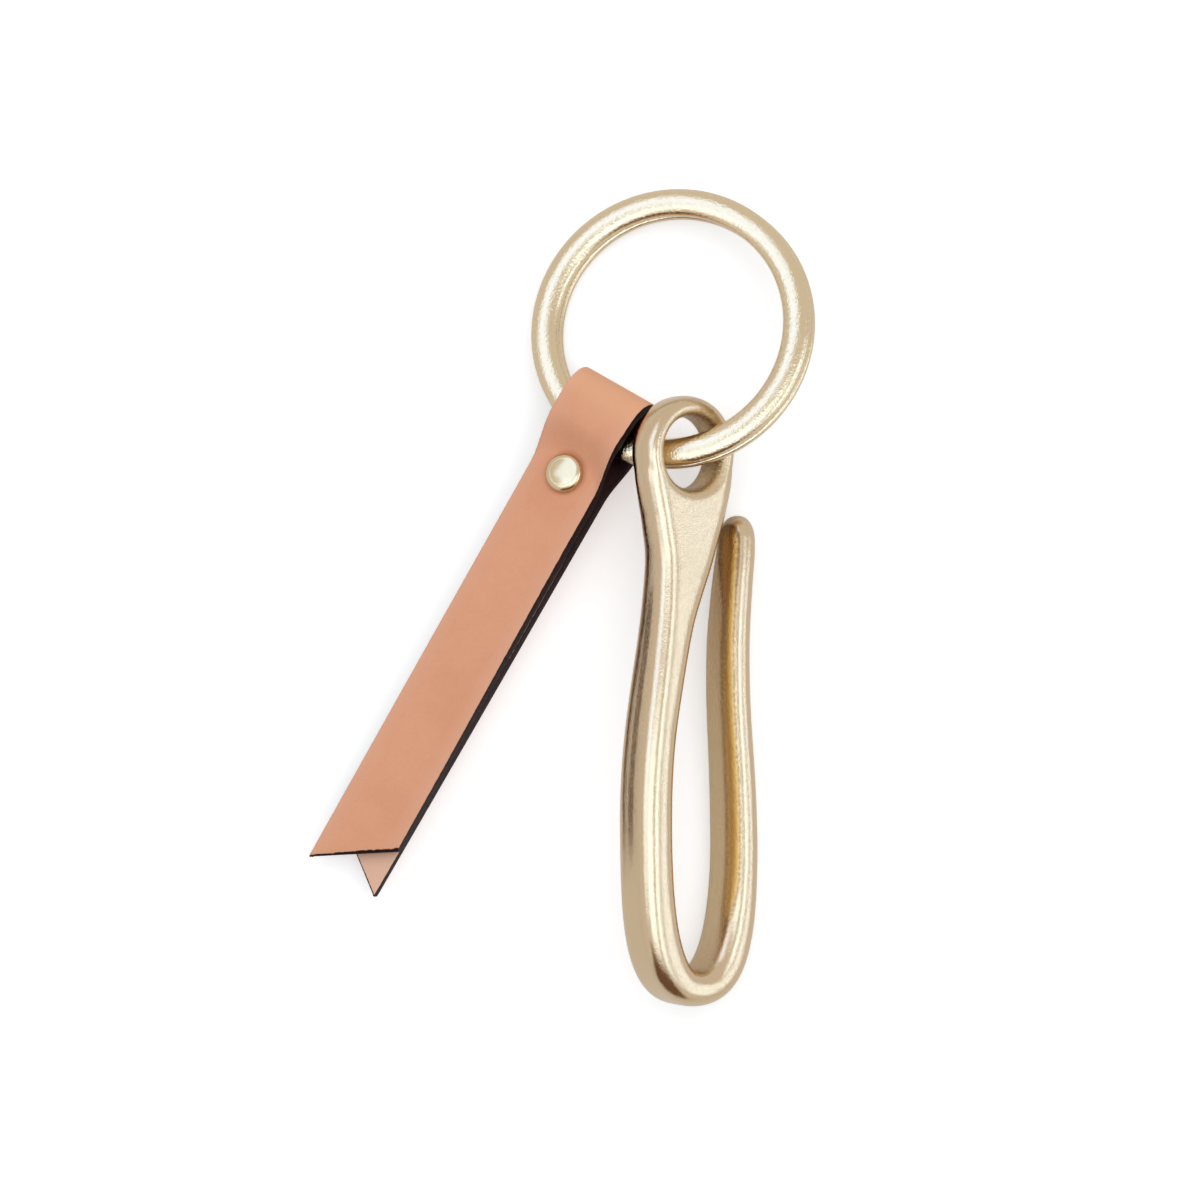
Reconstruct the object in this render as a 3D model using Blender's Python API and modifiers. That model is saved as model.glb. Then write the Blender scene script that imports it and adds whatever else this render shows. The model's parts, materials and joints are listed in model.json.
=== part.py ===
"""Brass fish hook key holder: a cast hook and a folded leather strap on a split ring.

The holder lies as it does when it is dropped on a table, +Z up, lengths in metres.
The split ring leans on the eye of the hook, and the hook rests on its point side.
"""
import math

import bmesh
import bpy
from mathutils import Matrix, Vector

# Split ring
ring_outer_diameter = 0.0357
ring_wire_width = 0.0035
ring_turn_thickness = 0.0017
ring_turn_gap = 0.00015
ring_dome_height = 0.0010
ring_turn_shift = 0.00027
ring_crossing_length = 0.008
ring_end_clearance = 0.0004

# Cast hook: sideways and height lie in the plane of the hook, depth is across it
hook_length = 0.076
hook_bend_width = 0.014
hook_bend_height = 0.0167
band_thickness = 0.0042
band_depth = 0.0065
band_edge_radius = 0.0014
eye_outer_diameter = 0.0142
eye_wall = 0.0027
eye_depth = 0.0048
eye_rim_land = 0.00015
wire_drop_in_eye = 0.0001
hook_pivot_inset = 0.0011

# Leather strap, folded over the ring
strap_width = 0.0101
strap_end_width = 0.0094
strap_thickness = 0.0018
strap_layer_gap = 0.0001
strap_fold_reach = 0.00655
strap_front_length = 0.0709
strap_back_length = 0.0712
strap_front_cut = 0.0064
strap_back_cut = 0.0069
strap_back_skew = 0.0003
strap_loop_half_gap = 0.0025
strap_fold_length = 0.0032
strap_ramp_inset = 0.0003
strap_ramp_length = 0.0023
strap_edge_ramp_length = 0.0076

# Double cap rivet through both layers
rivet_reach = 0.0129
cap_diameter = 0.0049
cap_height = 0.0011
cap_wall = 0.0003
cap_flat_diameter = 0.0033
cap_seat_gap = 0.00005
flange_diameter = 0.0037
flange_thickness = 0.00035
socket_diameter = 0.0024
socket_bore = 0.0016
post_diameter = 0.0014
post_bore = 0.0008
rivet_end_gap = 0.0003
strap_hole_clearance = 0.0002

# One overrun for every cut
cut_overrun = 0.0005

# Directions in the table's plane, counter-clockwise from +X, and the turns of the pieces
lean_direction = math.radians(141.0)
turn_shift_direction = math.radians(-5.0)
eye_direction = math.radians(-84.0)
strap_direction = math.radians(-126.3)
strap_yaw = math.radians(6.7)
strap_fold_roll = math.radians(18.5)
strap_rivet_roll = math.radians(24.0)
strap_end_roll = math.radians(14.0)
hook_roll = math.radians(41.0)
hook_pitch = math.radians(1.4)

# Stations of the hook's two arms as shares: sideways of the bend width and height of the
# hook's length, both from the eye, then thickness and depth of the band
point_arm_shares = (
    (0.642, -0.127, 0.82, 0.62),
    (0.630, -0.150, 0.83, 0.68),
    (0.585, -0.197, 0.86, 0.75),
    (0.530, -0.272, 0.90, 0.82),
    (0.512, -0.325, 0.90, 0.87),
    (0.516, -0.408, 0.91, 0.92),
    (0.545, -0.486, 0.93, 0.96),
    (0.572, -0.563, 0.96, 0.99),
)
shank_arm_shares = (
    (-0.418, -0.563, 1.17, 1.00),
    (-0.378, -0.466, 1.13, 1.00),
    (-0.282, -0.368, 1.17, 0.96),
    (-0.228, -0.321, 1.22, 0.92),
    (-0.171, -0.271, 1.34, 0.88),
    (-0.102, -0.218, 1.66, 0.83),
    (-0.049, -0.170, 2.10, 0.78),
    (-0.018, -0.118, 2.62, 0.75),
    (-0.007, -0.095, 2.85, 0.74),
    (0.005, -0.047, 3.28, 0.72),
    (0.002, -0.010, 3.35, 0.71),
)
bend_thickness_share = 0.89
bend_centre_share = 0.085
edge_round_share = 0.9

# Facets
ring_steps_per_turn = 56
wire_section_steps = 18
wire_flat_power = 5.0
hook_corner_steps = 5
arm_steps = 4
bend_steps = 20
eye_steps = 56
oval_steps = 9
oval_power = 2.4
bend_power = 2.8
fold_power = 2.4
strap_columns = 6
tail_rows = 15
ramp_rows = 6
fold_rows = 14
rivet_steps = 24
cap_rim_steps = 6
lean_halvings = 40


def collection(name):
    """A collection of the scene, under the scene's own one."""
    made = bpy.data.collections.new(name)
    bpy.context.scene.collection.children.link(made)
    return made


def finish(name, colour, roughness, metallic):
    """A material with one Principled shader."""
    made = bpy.data.materials.new(name)
    made.use_nodes = True
    shader = made.node_tree.nodes["Principled BSDF"]
    shader.inputs["Base Color"].default_value = (*colour, 1.0)
    shader.inputs["Roughness"].default_value = roughness
    shader.inputs["Metallic"].default_value = metallic
    return made


def guide(name, matrix, parent=None):
    """An empty that carries pieces: a frame or a joint's axis."""
    made = bpy.data.objects.new(name, None)
    bpy.context.scene.collection.objects.link(made)
    made.empty_display_size = ring_wire_width
    made.parent = parent
    made.matrix_local = matrix
    return made


def mesh_piece(name, bm, home, parent, material=None):
    """Turn a bmesh into a smooth shaded object in a collection, under its parent."""
    bmesh.ops.recalc_face_normals(bm, faces=bm.faces)
    mesh = bpy.data.meshes.new(name)
    bm.to_mesh(mesh)
    bm.free()
    mesh.shade_smooth()
    mesh.set_sharp_from_angle(angle=math.radians(40.0))
    made = bpy.data.objects.new(name, mesh)
    home.objects.link(made)
    made.parent = parent
    if material:
        mesh.materials.append(material)
    return made


def hide_tool(made):
    """Mark an object as a tool for cutting and joining."""
    made.hide_render = True
    made.display_type = "WIRE"
    return made


def boolean(target, tool, operation):
    """Cut or join with the exact solver."""
    step = target.modifiers.new(f"{operation.lower()} {tool.name}", "BOOLEAN")
    step.operation = operation
    step.solver = "EXACT"
    step.object = tool


def join_loops(bm, loops):
    """Skin a row of like loops of vertices and close its two ends."""
    for first, second in zip(loops, loops[1:]):
        for index, vert in enumerate(first):
            following = (index + 1) % len(first)
            bm.faces.new((vert, first[following], second[following], second[index]))
    bm.faces.new(loops[0])
    bm.faces.new(loops[-1])


def turned(name, profile, steps, home, parent, material=None):
    """Turn a profile of (radius, height) points, top to bottom on the outside, round Z."""
    bm = bmesh.new()
    points = [bm.verts.new((radius, 0.0, height)) for radius, height in profile]
    for start, end in zip(points, points[1:]):
        bm.edges.new((start, end))
    made = mesh_piece(name, bm, home, parent, material)
    screw = made.modifiers.new("turn", "SCREW")
    screw.axis = "Z"
    screw.steps = steps
    screw.render_steps = steps
    screw.use_merge_vertices = True
    screw.merge_threshold = 0.00001
    return made


def arc(centre_x, centre_y, radius, start, end, steps):
    """Points on an arc, in degrees, both ends included."""
    points = []
    for step in range(steps + 1):
        angle = math.radians(start + (end - start) * step / steps)
        points.append((centre_x + radius * math.cos(angle), centre_y + radius * math.sin(angle)))
    return points


def rounded_rectangle(half_width, half_height, radius, steps):
    """Corner arcs of a rectangle, counter-clockwise from its right side."""
    points = []
    for side_x, side_y, start in ((1, 1, 0), (-1, 1, 90), (-1, -1, 180), (1, -1, 270)):
        corner_x = side_x * (half_width - radius)
        corner_y = side_y * (half_height - radius)
        points += arc(corner_x, corner_y, radius, start, start + 90, steps)
    return points


def smooth_step(share):
    """Rise from 0 to 1 with level ends."""
    share = min(max(share, 0.0), 1.0)
    return share * share * (3.0 - 2.0 * share)


# Split ring

ring_radius = (ring_outer_diameter - ring_wire_width) / 2
ring_stack = 2 * ring_turn_thickness + ring_turn_gap
ring_level = (ring_turn_thickness + ring_turn_gap) / 2


def ring_centre_line():
    """Two turns of wire as places and levels: front, slanting crossing under the strap, back."""
    crossing = ring_crossing_length / ring_radius
    clearance = ring_end_clearance / ring_radius
    first = strap_direction + crossing / 2 + clearance
    last = strap_direction + 4 * math.pi - crossing / 2 - clearance
    crossing_start = strap_direction + 2 * math.pi - crossing / 2
    count = round(ring_steps_per_turn * (last - first) / (2 * math.pi))
    slide = Vector((math.cos(turn_shift_direction), math.sin(turn_shift_direction), 0.0))
    rows = []
    for step in range(count + 1):
        angle = first + (last - first) * step / count
        level = 1.0 - 2.0 * smooth_step((angle - crossing_start) / crossing)
        outward = Vector((math.cos(angle), math.sin(angle), 0.0))
        spot = ring_radius * outward - level * slide * ring_turn_shift / 2
        spot.z = level * ring_level
        rows.append((spot, outward, level))
    return rows


def signed_power(value, power):
    """A power that keeps the sign, for rounded sections."""
    return math.copysign(abs(value) ** power, value)


def wire_section(level):
    """Sideways and height round the wire: domed away from the other turn, flat towards it."""
    flat_height = ring_turn_thickness - ring_dome_height
    share = (1.0 + level) / 2
    rise = flat_height + (ring_dome_height - flat_height) * share
    middle = ring_turn_thickness / 2 - rise
    points = []
    for step in range(wire_section_steps):
        angle = 2 * math.pi * step / wire_section_steps
        above = share if math.sin(angle) >= 0.0 else 1.0 - share
        reach = rise if math.sin(angle) >= 0.0 else ring_turn_thickness - rise
        power = 2.0 / (wire_flat_power + (2.0 - wire_flat_power) * above)
        side = signed_power(math.cos(angle), power) * ring_wire_width / 2
        points.append((side, middle + signed_power(math.sin(angle), power) * reach))
    return points


def make_split_ring(home, parent, brass):
    """Loft the wire along its two turns, since its dome changes sides at the crossing."""
    bm = bmesh.new()
    loops = []
    for spot, outward, level in ring_centre_line():
        section = wire_section(level)
        loops.append([bm.verts.new(spot + outward * side + Vector((0.0, 0.0, height)))
                      for side, height in section])
    join_loops(bm, loops)
    return mesh_piece("split_ring", bm, home, parent, brass)


# Cast hook

eye_radius = (eye_outer_diameter - eye_wall) / 2
eye_height = hook_length - eye_outer_diameter / 2


def hook_stations():
    """Sideways place, height from the eye, thickness and depth, from point to eye."""
    def sized(shares):
        return [(hook_bend_width * side, hook_length * height, band_thickness * thickness,
                 band_depth * depth) for side, height, thickness, depth in shares]

    point_arm = sized(point_arm_shares)
    shank_arm = sized(shank_arm_shares)
    centre = hook_bend_width * bend_centre_share
    half = hook_bend_width / 2
    base = band_thickness * bend_thickness_share / 2 - eye_height
    level = base + hook_bend_height
    bend = []
    for step in range(bend_steps + 1):
        angle = math.pi * step / bend_steps
        side = centre + half * signed_power(math.cos(angle), 2 / bend_power)
        height = level - hook_bend_height * signed_power(math.sin(angle), 2 / bend_power)
        start = band_thickness
        end = band_thickness * shank_arm_shares[0][2]
        low = band_thickness * bend_thickness_share
        turn = step / bend_steps
        ends = start + (end - start) * smooth_step(turn)
        thickness = ends + (low - ends) * math.sin(angle) ** 2
        bend.append((side, height, thickness, band_depth))
    return curve_through(point_arm + bend[:1]) + bend[1:-1] + curve_through(bend[-1:] + shank_arm)


def curve_through(rows):
    """Catmull-Rom curve through rows of numbers, some steps to a row."""
    rows = [Vector(row) for row in rows]
    ends = [2 * rows[0] - rows[1]] + rows + [2 * rows[-1] - rows[-2]]
    made = []
    for before, start, end, after in zip(ends, ends[1:], ends[2:], ends[3:]):
        for step in range(arm_steps):
            t = step / arm_steps
            made.append(0.5 * (2 * start + (end - before) * t
                               + (2 * before - 5 * start + 4 * end - after) * t ** 2
                               + (3 * start - before - 3 * end + after) * t ** 3))
    return made + [rows[-1]]


def hook_sections():
    """Rings of points round the band, each square to its centre line."""
    rows = hook_stations()
    sections = []
    for index, row in enumerate(rows):
        before = rows[max(index - 1, 0)]
        after = rows[min(index + 1, len(rows) - 1)]
        along = Vector((after[0] - before[0], after[1] - before[1], 0.0)).normalized()
        sections.append((Vector((row[0], row[1], 0.0)), along, row[2] / 2, row[3] / 2))
    return sections


def band_loop(centre, along, half_thickness, half_depth):
    """One cross-section of the band: a rectangle with round corners."""
    across = Vector((along.y, -along.x, 0.0))
    radius = min(band_edge_radius, edge_round_share * half_thickness,
                 edge_round_share * half_depth)
    points = rounded_rectangle(half_thickness, half_depth, radius, hook_corner_steps)
    return [centre + across * x + Vector((0.0, 0.0, y)) for x, y in points]


def band_loops():
    """All cross-sections of the band, with the ones that round off its point."""
    sections = hook_sections()
    centre, along, half_thickness, half_depth = sections[0]
    loops = []
    for step in range(hook_corner_steps, 0, -1):
        angle = math.pi / 2 * step / (hook_corner_steps + 0.5)
        shrink = math.cos(angle)
        end = centre - along * half_thickness * math.sin(angle)
        depth = half_depth - half_thickness * (1 - shrink)
        loops.append(band_loop(end, along, half_thickness * shrink, depth))
    return loops + [band_loop(*section) for section in sections]


def make_hook_band(tools, parent):
    """Loft the hook's band from its blunt point round the bend to the eye."""
    bm = bmesh.new()
    join_loops(bm, [[bm.verts.new(point) for point in loop] for loop in band_loops()])
    return mesh_piece("hook", bm, tools, parent)


def oval_offset(share):
    """Half-width share of the eye's oval section at a share of its half-depth."""
    return (1.0 - abs(share) ** oval_power) ** (1.0 / oval_power)


def make_eye_blank(tools, parent):
    """The eye's disc with its rounded outer rim, still without its hole."""
    half_depth = eye_depth / 2
    profile = [(0.0, half_depth)]
    for step in range(oval_steps + 1):
        share = math.cos(math.pi * step / oval_steps)
        profile.append((eye_radius + eye_wall / 2 * oval_offset(share), half_depth * share))
    profile.append((0.0, -half_depth))
    return hide_tool(turned("eye_blank", profile, eye_steps, tools, parent))


def make_eye_cutter(tools, parent):
    """The eye's hole: narrow in the middle, flared to the rims."""
    half_depth = eye_depth / 2
    flare = eye_radius - eye_rim_land
    top = half_depth + cut_overrun
    profile = [(0.0, top), (flare, top)]
    for step in range(1, oval_steps):
        share = math.cos(math.pi * step / oval_steps)
        profile.append((eye_radius - eye_wall / 2 * oval_offset(share), half_depth * share))
    profile += [(flare, -top), (0.0, -top)]
    return hide_tool(turned("eye_cutter", profile, eye_steps, tools, parent))


def make_hook(home, tools, parent, brass):
    """The cast hook: band, round eye joined to it, and the hole through both."""
    made = make_hook_band(home, parent)
    made.data.materials.append(brass)
    boolean(made, make_eye_blank(tools, parent), "UNION")
    boolean(made, make_eye_cutter(tools, parent), "DIFFERENCE")
    return made


def hook_rest_height():
    """Height of the eye's centre over the table when the tilted hook lies on it."""
    tilt = hook_tilt()
    return -min((tilt @ point).z for loop in band_loops() for point in loop)


def hook_tilt():
    """Turn of the lying hook: rolled onto its point side, its eye a little raised."""
    return Matrix.Rotation(hook_pitch, 4, "X") @ Matrix.Rotation(hook_roll, 4, "Y")


def ring_drop(lean):
    """Depth of the leaning ring's lowest point, on its back dome, under its centre."""
    base = ring_stack / 2 - ring_dome_height
    bulge = math.hypot(ring_wire_width / 2 * math.sin(lean), ring_dome_height * math.cos(lean))
    return ring_radius * math.sin(lean) + base * math.cos(lean) + bulge


def ring_lean():
    """Lean at which the ring's low side and the hook that it threads both touch the table."""
    apart = math.cos(eye_direction - lean_direction - math.pi)
    wire_height = hook_rest_height() - wire_drop_in_eye
    low = 0.0
    high = math.pi / 4
    for halving in range(lean_halvings):
        lean = (low + high) / 2
        if ring_drop(lean) + ring_radius * apart * math.sin(lean) < wire_height:
            low = lean
        else:
            high = lean
    return lean


# Leather strap: its frame has X across the strap, +Y to the fold and Z up from the leather

layer_level = (strap_thickness + strap_layer_gap) / 2
loop_level = strap_loop_half_gap + strap_thickness / 2
rivet_place = strap_fold_reach - rivet_reach


def strap_twist(along):
    """Roll of the strap about its length: most at the rivet, least at the ends."""
    fold_share = smooth_step((along - rivet_place) / (strap_fold_reach - rivet_place))
    tail_share = smooth_step((rivet_place - along) / (strap_front_length - rivet_reach))
    roll = strap_rivet_roll + (strap_fold_roll - strap_rivet_roll) * fold_share
    return roll + (strap_end_roll - strap_rivet_roll) * tail_share


def width_at(along):
    """Width of the strap, which narrows a little to its tail."""
    share = max(rivet_place - along, 0.0) / (strap_front_length - rivet_reach)
    return strap_width + (strap_end_width - strap_width) * share


def on_strap(across, along, above):
    """A point of the strap: across it, along it from the wire, and above its middle."""
    twist = strap_twist(along)
    side = across * math.cos(twist) - above * math.sin(twist)
    lift = across * math.sin(twist) + above * math.cos(twist)
    return Vector((side, along, lift))


def layer_rows(tail_end, edge_share):
    """Places along one layer, tail to fold, with their height over the strap's middle."""
    fold_start = strap_fold_reach - strap_thickness / 2 - strap_fold_length
    ramp_end = -ring_wire_width / 2 + strap_ramp_inset
    ramp = strap_ramp_length + (strap_edge_ramp_length - strap_ramp_length) * edge_share ** 4
    ramp_start = ramp_end - ramp
    rows = []
    for row in range(tail_rows):
        rows.append((tail_end + (ramp_start - tail_end) * row / tail_rows, layer_level))
    for row in range(ramp_rows):
        share = row / ramp_rows
        rise = smooth_step(share) * (loop_level - layer_level)
        rows.append((ramp_start + ramp * share, layer_level + rise))
    for row in range(fold_rows):
        angle = math.pi / 2 * row / fold_rows
        along = fold_start + strap_fold_length * math.sin(angle) ** (2 / fold_power)
        rows.append((along, loop_level * math.cos(angle) ** (2 / fold_power)))
    return rows


def make_strap(home, tools, parent, leather):
    """One leather strip folded round the wire, its two ends cut at opposite slants."""
    bm = bmesh.new()
    front_tip = strap_fold_reach - strap_front_length
    back_tip = strap_fold_reach - strap_back_length
    columns = []
    for column in range(strap_columns + 1):
        share = column / strap_columns
        edge_share = abs(2 * share - 1)
        line = []
        for along, above in layer_rows(front_tip + strap_front_cut * share, edge_share):
            line.append(on_strap((share - 0.5) * width_at(along), along, above))
        line.append(on_strap((share - 0.5) * strap_width, strap_fold_reach - strap_thickness / 2, 0.0))
        back = layer_rows(back_tip + strap_back_cut * (1.0 - share), edge_share)
        for along, above in reversed(back):
            skew = strap_back_skew * max(rivet_place - along, 0.0) / strap_back_length
            line.append(on_strap((share - 0.5) * width_at(along) - skew, along, -above))
        columns.append([bm.verts.new(point) for point in line])
    for first, second in zip(columns, columns[1:]):
        for row in range(len(first) - 1):
            bm.faces.new((first[row], first[row + 1], second[row + 1], second[row]))
    made = mesh_piece("strap", bm, home, parent, leather)
    shell = made.modifiers.new("leather thickness", "SOLIDIFY")
    shell.thickness = strap_thickness
    shell.offset = 0.0
    shell.use_even_offset = True
    return made


def rivet_frame():
    """Frame of the rivet in the strap: Z square to the leather."""
    roll = Matrix.Rotation(-strap_twist(rivet_place), 4, "Y")
    return Matrix.Translation((0.0, rivet_place, 0.0)) @ roll


def make_strap_hole(strap, tools, parent):
    """Punch the rivet's hole through both layers."""
    reach = 2 * strap_thickness + strap_layer_gap + 2 * cut_overrun
    radius = socket_diameter / 2 + strap_hole_clearance
    profile = [(0.0, reach / 2), (radius, reach / 2), (radius, -reach / 2), (0.0, -reach / 2)]
    punch = turned("hole_punch", profile, rivet_steps, tools, parent)
    boolean(strap, hide_tool(punch), "DIFFERENCE")


# Rivet: two caps pressed over the flanges of a socket and of the post that it grips

leather_face = strap_thickness + strap_layer_gap / 2
cap_base = leather_face + cap_seat_gap
flange_base = leather_face + 2 * cap_seat_gap
flange_top = flange_base + flange_thickness


def make_cap(name, side, home, parent, brass):
    """A thin domed cap with a flat top and an open underside, on the +Z or -Z face."""
    outer = cap_diameter / 2
    flat = cap_flat_diameter / 2
    round_off = outer - flat
    top = cap_base + cap_height
    level = top - round_off
    profile = [(0.0, top)] + arc(flat, level, round_off, 90, 0, cap_rim_steps)
    profile += [(outer, cap_base), (outer - cap_wall, cap_base)]
    profile += arc(flat, level, round_off - cap_wall, 0, 90, cap_rim_steps)
    profile.append((0.0, top - cap_wall))
    frame = Matrix.Rotation(0.0 if side > 0 else math.pi, 4, "X")
    made = turned(name, profile, rivet_steps, home, parent, brass)
    made.matrix_local = frame
    return made


def make_socket(home, parent, brass):
    """The inner half on the front: a flange under the cap and a tube through the leather."""
    outer = socket_diameter / 2
    bore = socket_bore / 2
    flange = flange_diameter / 2
    low = -flange_base + rivet_end_gap
    floor = flange_base
    profile = [(0.0, flange_top), (flange, flange_top), (flange, flange_base), (outer, flange_base),
               (outer, low), (bore, low), (bore, floor), (0.0, floor)]
    return turned("rivet_socket", profile, rivet_steps, home, parent, brass)


def make_post(home, parent, brass):
    """The inner half on the back: a flange and a hollow post pressed up into the socket."""
    outer = post_diameter / 2
    bore = post_bore / 2
    flange = flange_diameter / 2
    tip = flange_base - rivet_end_gap
    profile = [(bore, tip), (outer, tip), (outer, -flange_base), (flange, -flange_base),
               (flange, -flange_top), (bore, -flange_top), (bore, tip)]
    return turned("rivet_post", profile, rivet_steps, home, parent, brass)


# The whole holder

def place_ring():
    """Frame of the leaning ring: its centre over the table, Z along its axis."""
    lean = ring_lean()
    axis = Vector((-math.sin(lean_direction), math.cos(lean_direction), 0.0))
    return Matrix.Translation((0.0, 0.0, ring_drop(lean))) @ Matrix.Rotation(lean, 4, axis)


def wire_spot(direction, inset=0.0):
    """A point on the ring's centre line or inside it, in the ring's frame."""
    radius = ring_radius - inset
    return Vector((radius * math.cos(direction), radius * math.sin(direction), 0.0))


def place_strap(wire_place):
    """Frame of the strap: it slopes down from the wire until its tail lies on the table."""
    turn = strap_direction + strap_yaw + math.pi / 2
    tail_lift = strap_width / 2 * math.sin(strap_end_roll)
    tail_lift += (strap_thickness + strap_layer_gap / 2) * math.cos(strap_end_roll)
    slope = math.asin((wire_place.z - tail_lift) / (strap_front_length - strap_fold_reach))
    return (Matrix.Translation(wire_place) @ Matrix.Rotation(turn, 4, "Z")
            @ Matrix.Rotation(slope, 4, "X"))


def stand_on_origin(pieces, root):
    """Shift the holder so that the middle of its footprint is the origin."""
    bpy.context.view_layer.update()
    depsgraph = bpy.context.evaluated_depsgraph_get()
    corners = []
    for piece in pieces:
        shown = piece.evaluated_get(depsgraph)
        mesh = shown.to_mesh()
        corners += [shown.matrix_world @ vertex.co for vertex in mesh.vertices]
        shown.to_mesh_clear()
    low = Vector(min(corner[axis] for corner in corners) for axis in range(3))
    high = Vector(max(corner[axis] for corner in corners) for axis in range(3))
    root.location = (-(low.x + high.x) / 2, -(low.y + high.y) / 2, -low.z)
    bpy.context.view_layer.update()
    return high - low


def main():
    for old in list(bpy.data.objects):
        bpy.data.objects.remove(old)
    home = collection("fish_hook_key_holder")
    tools = collection("cutters")
    cast_brass = finish("cast brass", (0.62, 0.47, 0.27), 0.30, 1.0)
    wire_brass = finish("brass wire", (0.66, 0.52, 0.31), 0.25, 1.0)
    cap_brass = finish("rivet brass", (0.68, 0.55, 0.34), 0.30, 1.0)
    leather = finish("vegetable tanned leather", (0.69, 0.33, 0.20), 0.60, 0.0)

    root = guide("holder_frame", Matrix())
    ring_frame = place_ring()
    ring_parent = guide("ring_axis", ring_frame, root)
    pivot = ring_frame @ wire_spot(eye_direction, hook_pivot_inset)
    hook_pivot = guide("hook_pivot", Matrix.Translation(pivot), root)
    eye_spot = ring_frame @ wire_spot(eye_direction) + Vector((0.0, 0.0, wire_drop_in_eye))
    hook_parent = guide("hook_seat", Matrix.Translation(eye_spot - pivot) @ hook_tilt(), hook_pivot)
    strap_pivot = guide("strap_pivot", ring_frame, root)
    strap_frame = ring_frame.inverted() @ place_strap(ring_frame @ wire_spot(strap_direction))
    strap_parent = guide("strap_seat", strap_frame, strap_pivot)
    rivet_parent = guide("rivet_seat", rivet_frame(), strap_parent)

    ring = make_split_ring(home, ring_parent, wire_brass)
    hook = make_hook(home, tools, hook_parent, cast_brass)
    strap = make_strap(home, tools, strap_parent, leather)
    make_strap_hole(strap, tools, rivet_parent)
    front_cap = make_cap("rivet_front_cap", 1, home, rivet_parent, cap_brass)
    socket = make_socket(home, rivet_parent, cap_brass)
    post = make_post(home, rivet_parent, cap_brass)
    back_cap = make_cap("rivet_back_cap", -1, home, rivet_parent, cap_brass)

    pieces = (ring, hook, strap, front_cap, socket, post, back_cap)
    size = stand_on_origin(pieces, root)
    tangent = Vector((-math.sin(eye_direction), math.cos(eye_direction), 0.0))
    axis = ring_parent.matrix_world.to_3x3() @ Vector((0.0, 0.0, 1.0))
    print("size", [round(length, 5) for length in size])
    print("strap_slide at", [round(x, 6) for x in strap_pivot.matrix_world.translation])
    print("strap_slide along", [round(x, 6) for x in axis])
    print("hook_swing at", [round(x, 6) for x in hook_pivot.matrix_world.translation])
    print("hook_swing along", [round(x, 6) for x in ring_parent.matrix_world.to_3x3() @ tangent])


main()
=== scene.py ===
"""A brass fish hook key holder with a folded leather strap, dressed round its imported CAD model."""

import json
import math

import bmesh
import bpy
from bpy.props import FloatProperty, FloatVectorProperty, PointerProperty
from mathutils import Matrix, Vector


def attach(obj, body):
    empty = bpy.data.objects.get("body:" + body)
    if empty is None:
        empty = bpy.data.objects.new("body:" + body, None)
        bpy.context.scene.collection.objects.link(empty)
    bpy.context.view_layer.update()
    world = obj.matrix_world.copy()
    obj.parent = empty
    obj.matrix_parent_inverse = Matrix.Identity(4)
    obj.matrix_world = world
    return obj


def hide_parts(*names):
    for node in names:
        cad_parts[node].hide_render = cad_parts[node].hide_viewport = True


bl_info = {
    "name": "Fish Hook Key Holder",
    "version": (1, 0, 0),
    "blender": (4, 5, 0),
    "location": "View3D > Sidebar > Key Holder",
    "description": "Builds a brass fish hook, its split ring and its riveted leather strap",
    "category": "Add Mesh",
}

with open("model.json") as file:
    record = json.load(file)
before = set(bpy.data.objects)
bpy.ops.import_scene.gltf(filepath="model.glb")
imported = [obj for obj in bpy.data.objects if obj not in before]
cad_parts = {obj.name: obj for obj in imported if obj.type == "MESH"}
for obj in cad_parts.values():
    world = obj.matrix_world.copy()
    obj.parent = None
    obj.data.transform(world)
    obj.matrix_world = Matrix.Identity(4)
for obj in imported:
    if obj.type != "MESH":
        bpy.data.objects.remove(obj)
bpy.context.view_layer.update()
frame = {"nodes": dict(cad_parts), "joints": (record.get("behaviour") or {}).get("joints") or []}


def linear(code):
    """An sRGB hex code as a linear colour with alpha, by the sRGB standard's curve."""
    values = []
    for start in (1, 3, 5):
        share = int(code[start:start + 2], 16) / 255
        values.append(share / 12.92 if share <= 0.04045 else ((share + 0.055) / 1.055) ** 2.4)
    return (*values, 1.0)


def length(name, description, default):
    """A length in metres that a user may change."""
    return FloatProperty(name=name, description=description, default=default, min=0.0,
                         precision=5, unit="LENGTH")


def turn(name, description, degrees):
    """An angle that a user may change, shown in degrees."""
    return FloatProperty(name=name, description=description, default=math.radians(degrees),
                         subtype="ANGLE")


def share_of(name, description, default):
    """A plain number from 0 to 1."""
    return FloatProperty(name=name, description=description, default=default, min=0.0, max=1.0)


def tint(name, description, code):
    """A colour that a user may change."""
    return FloatVectorProperty(name=name, description=description, default=linear(code),
                               size=4, min=0.0, max=1.0, subtype="COLOR")


# Sizes and colours

class KeyHolderRing(bpy.types.PropertyGroup):
    """Sizes of the split ring."""
    outer_diameter: length("Outer diameter", "Across the outside of the ring", 0.0357)
    wire_width: length("Wire width", "Width of the domed wire, across the ring's plane", 0.0035)
    turn_thickness: length("Turn thickness", "Thickness of each of the two turns", 0.0017)
    turn_gap: length("Gap", "Gap between the two turns", 0.00015)
    dome_height: length("Dome height", "Height of the dome on the outer face of a turn", 0.0010)
    turn_shift: length("Turn shift", "How far the two turns lie out of line", 0.00027)
    crossing: length("Crossing", "Length over which the wire changes its level", 0.008)
    end_clearance: length("End clearance", "Gap from a cut end to the crossing", 0.0004)


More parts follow.
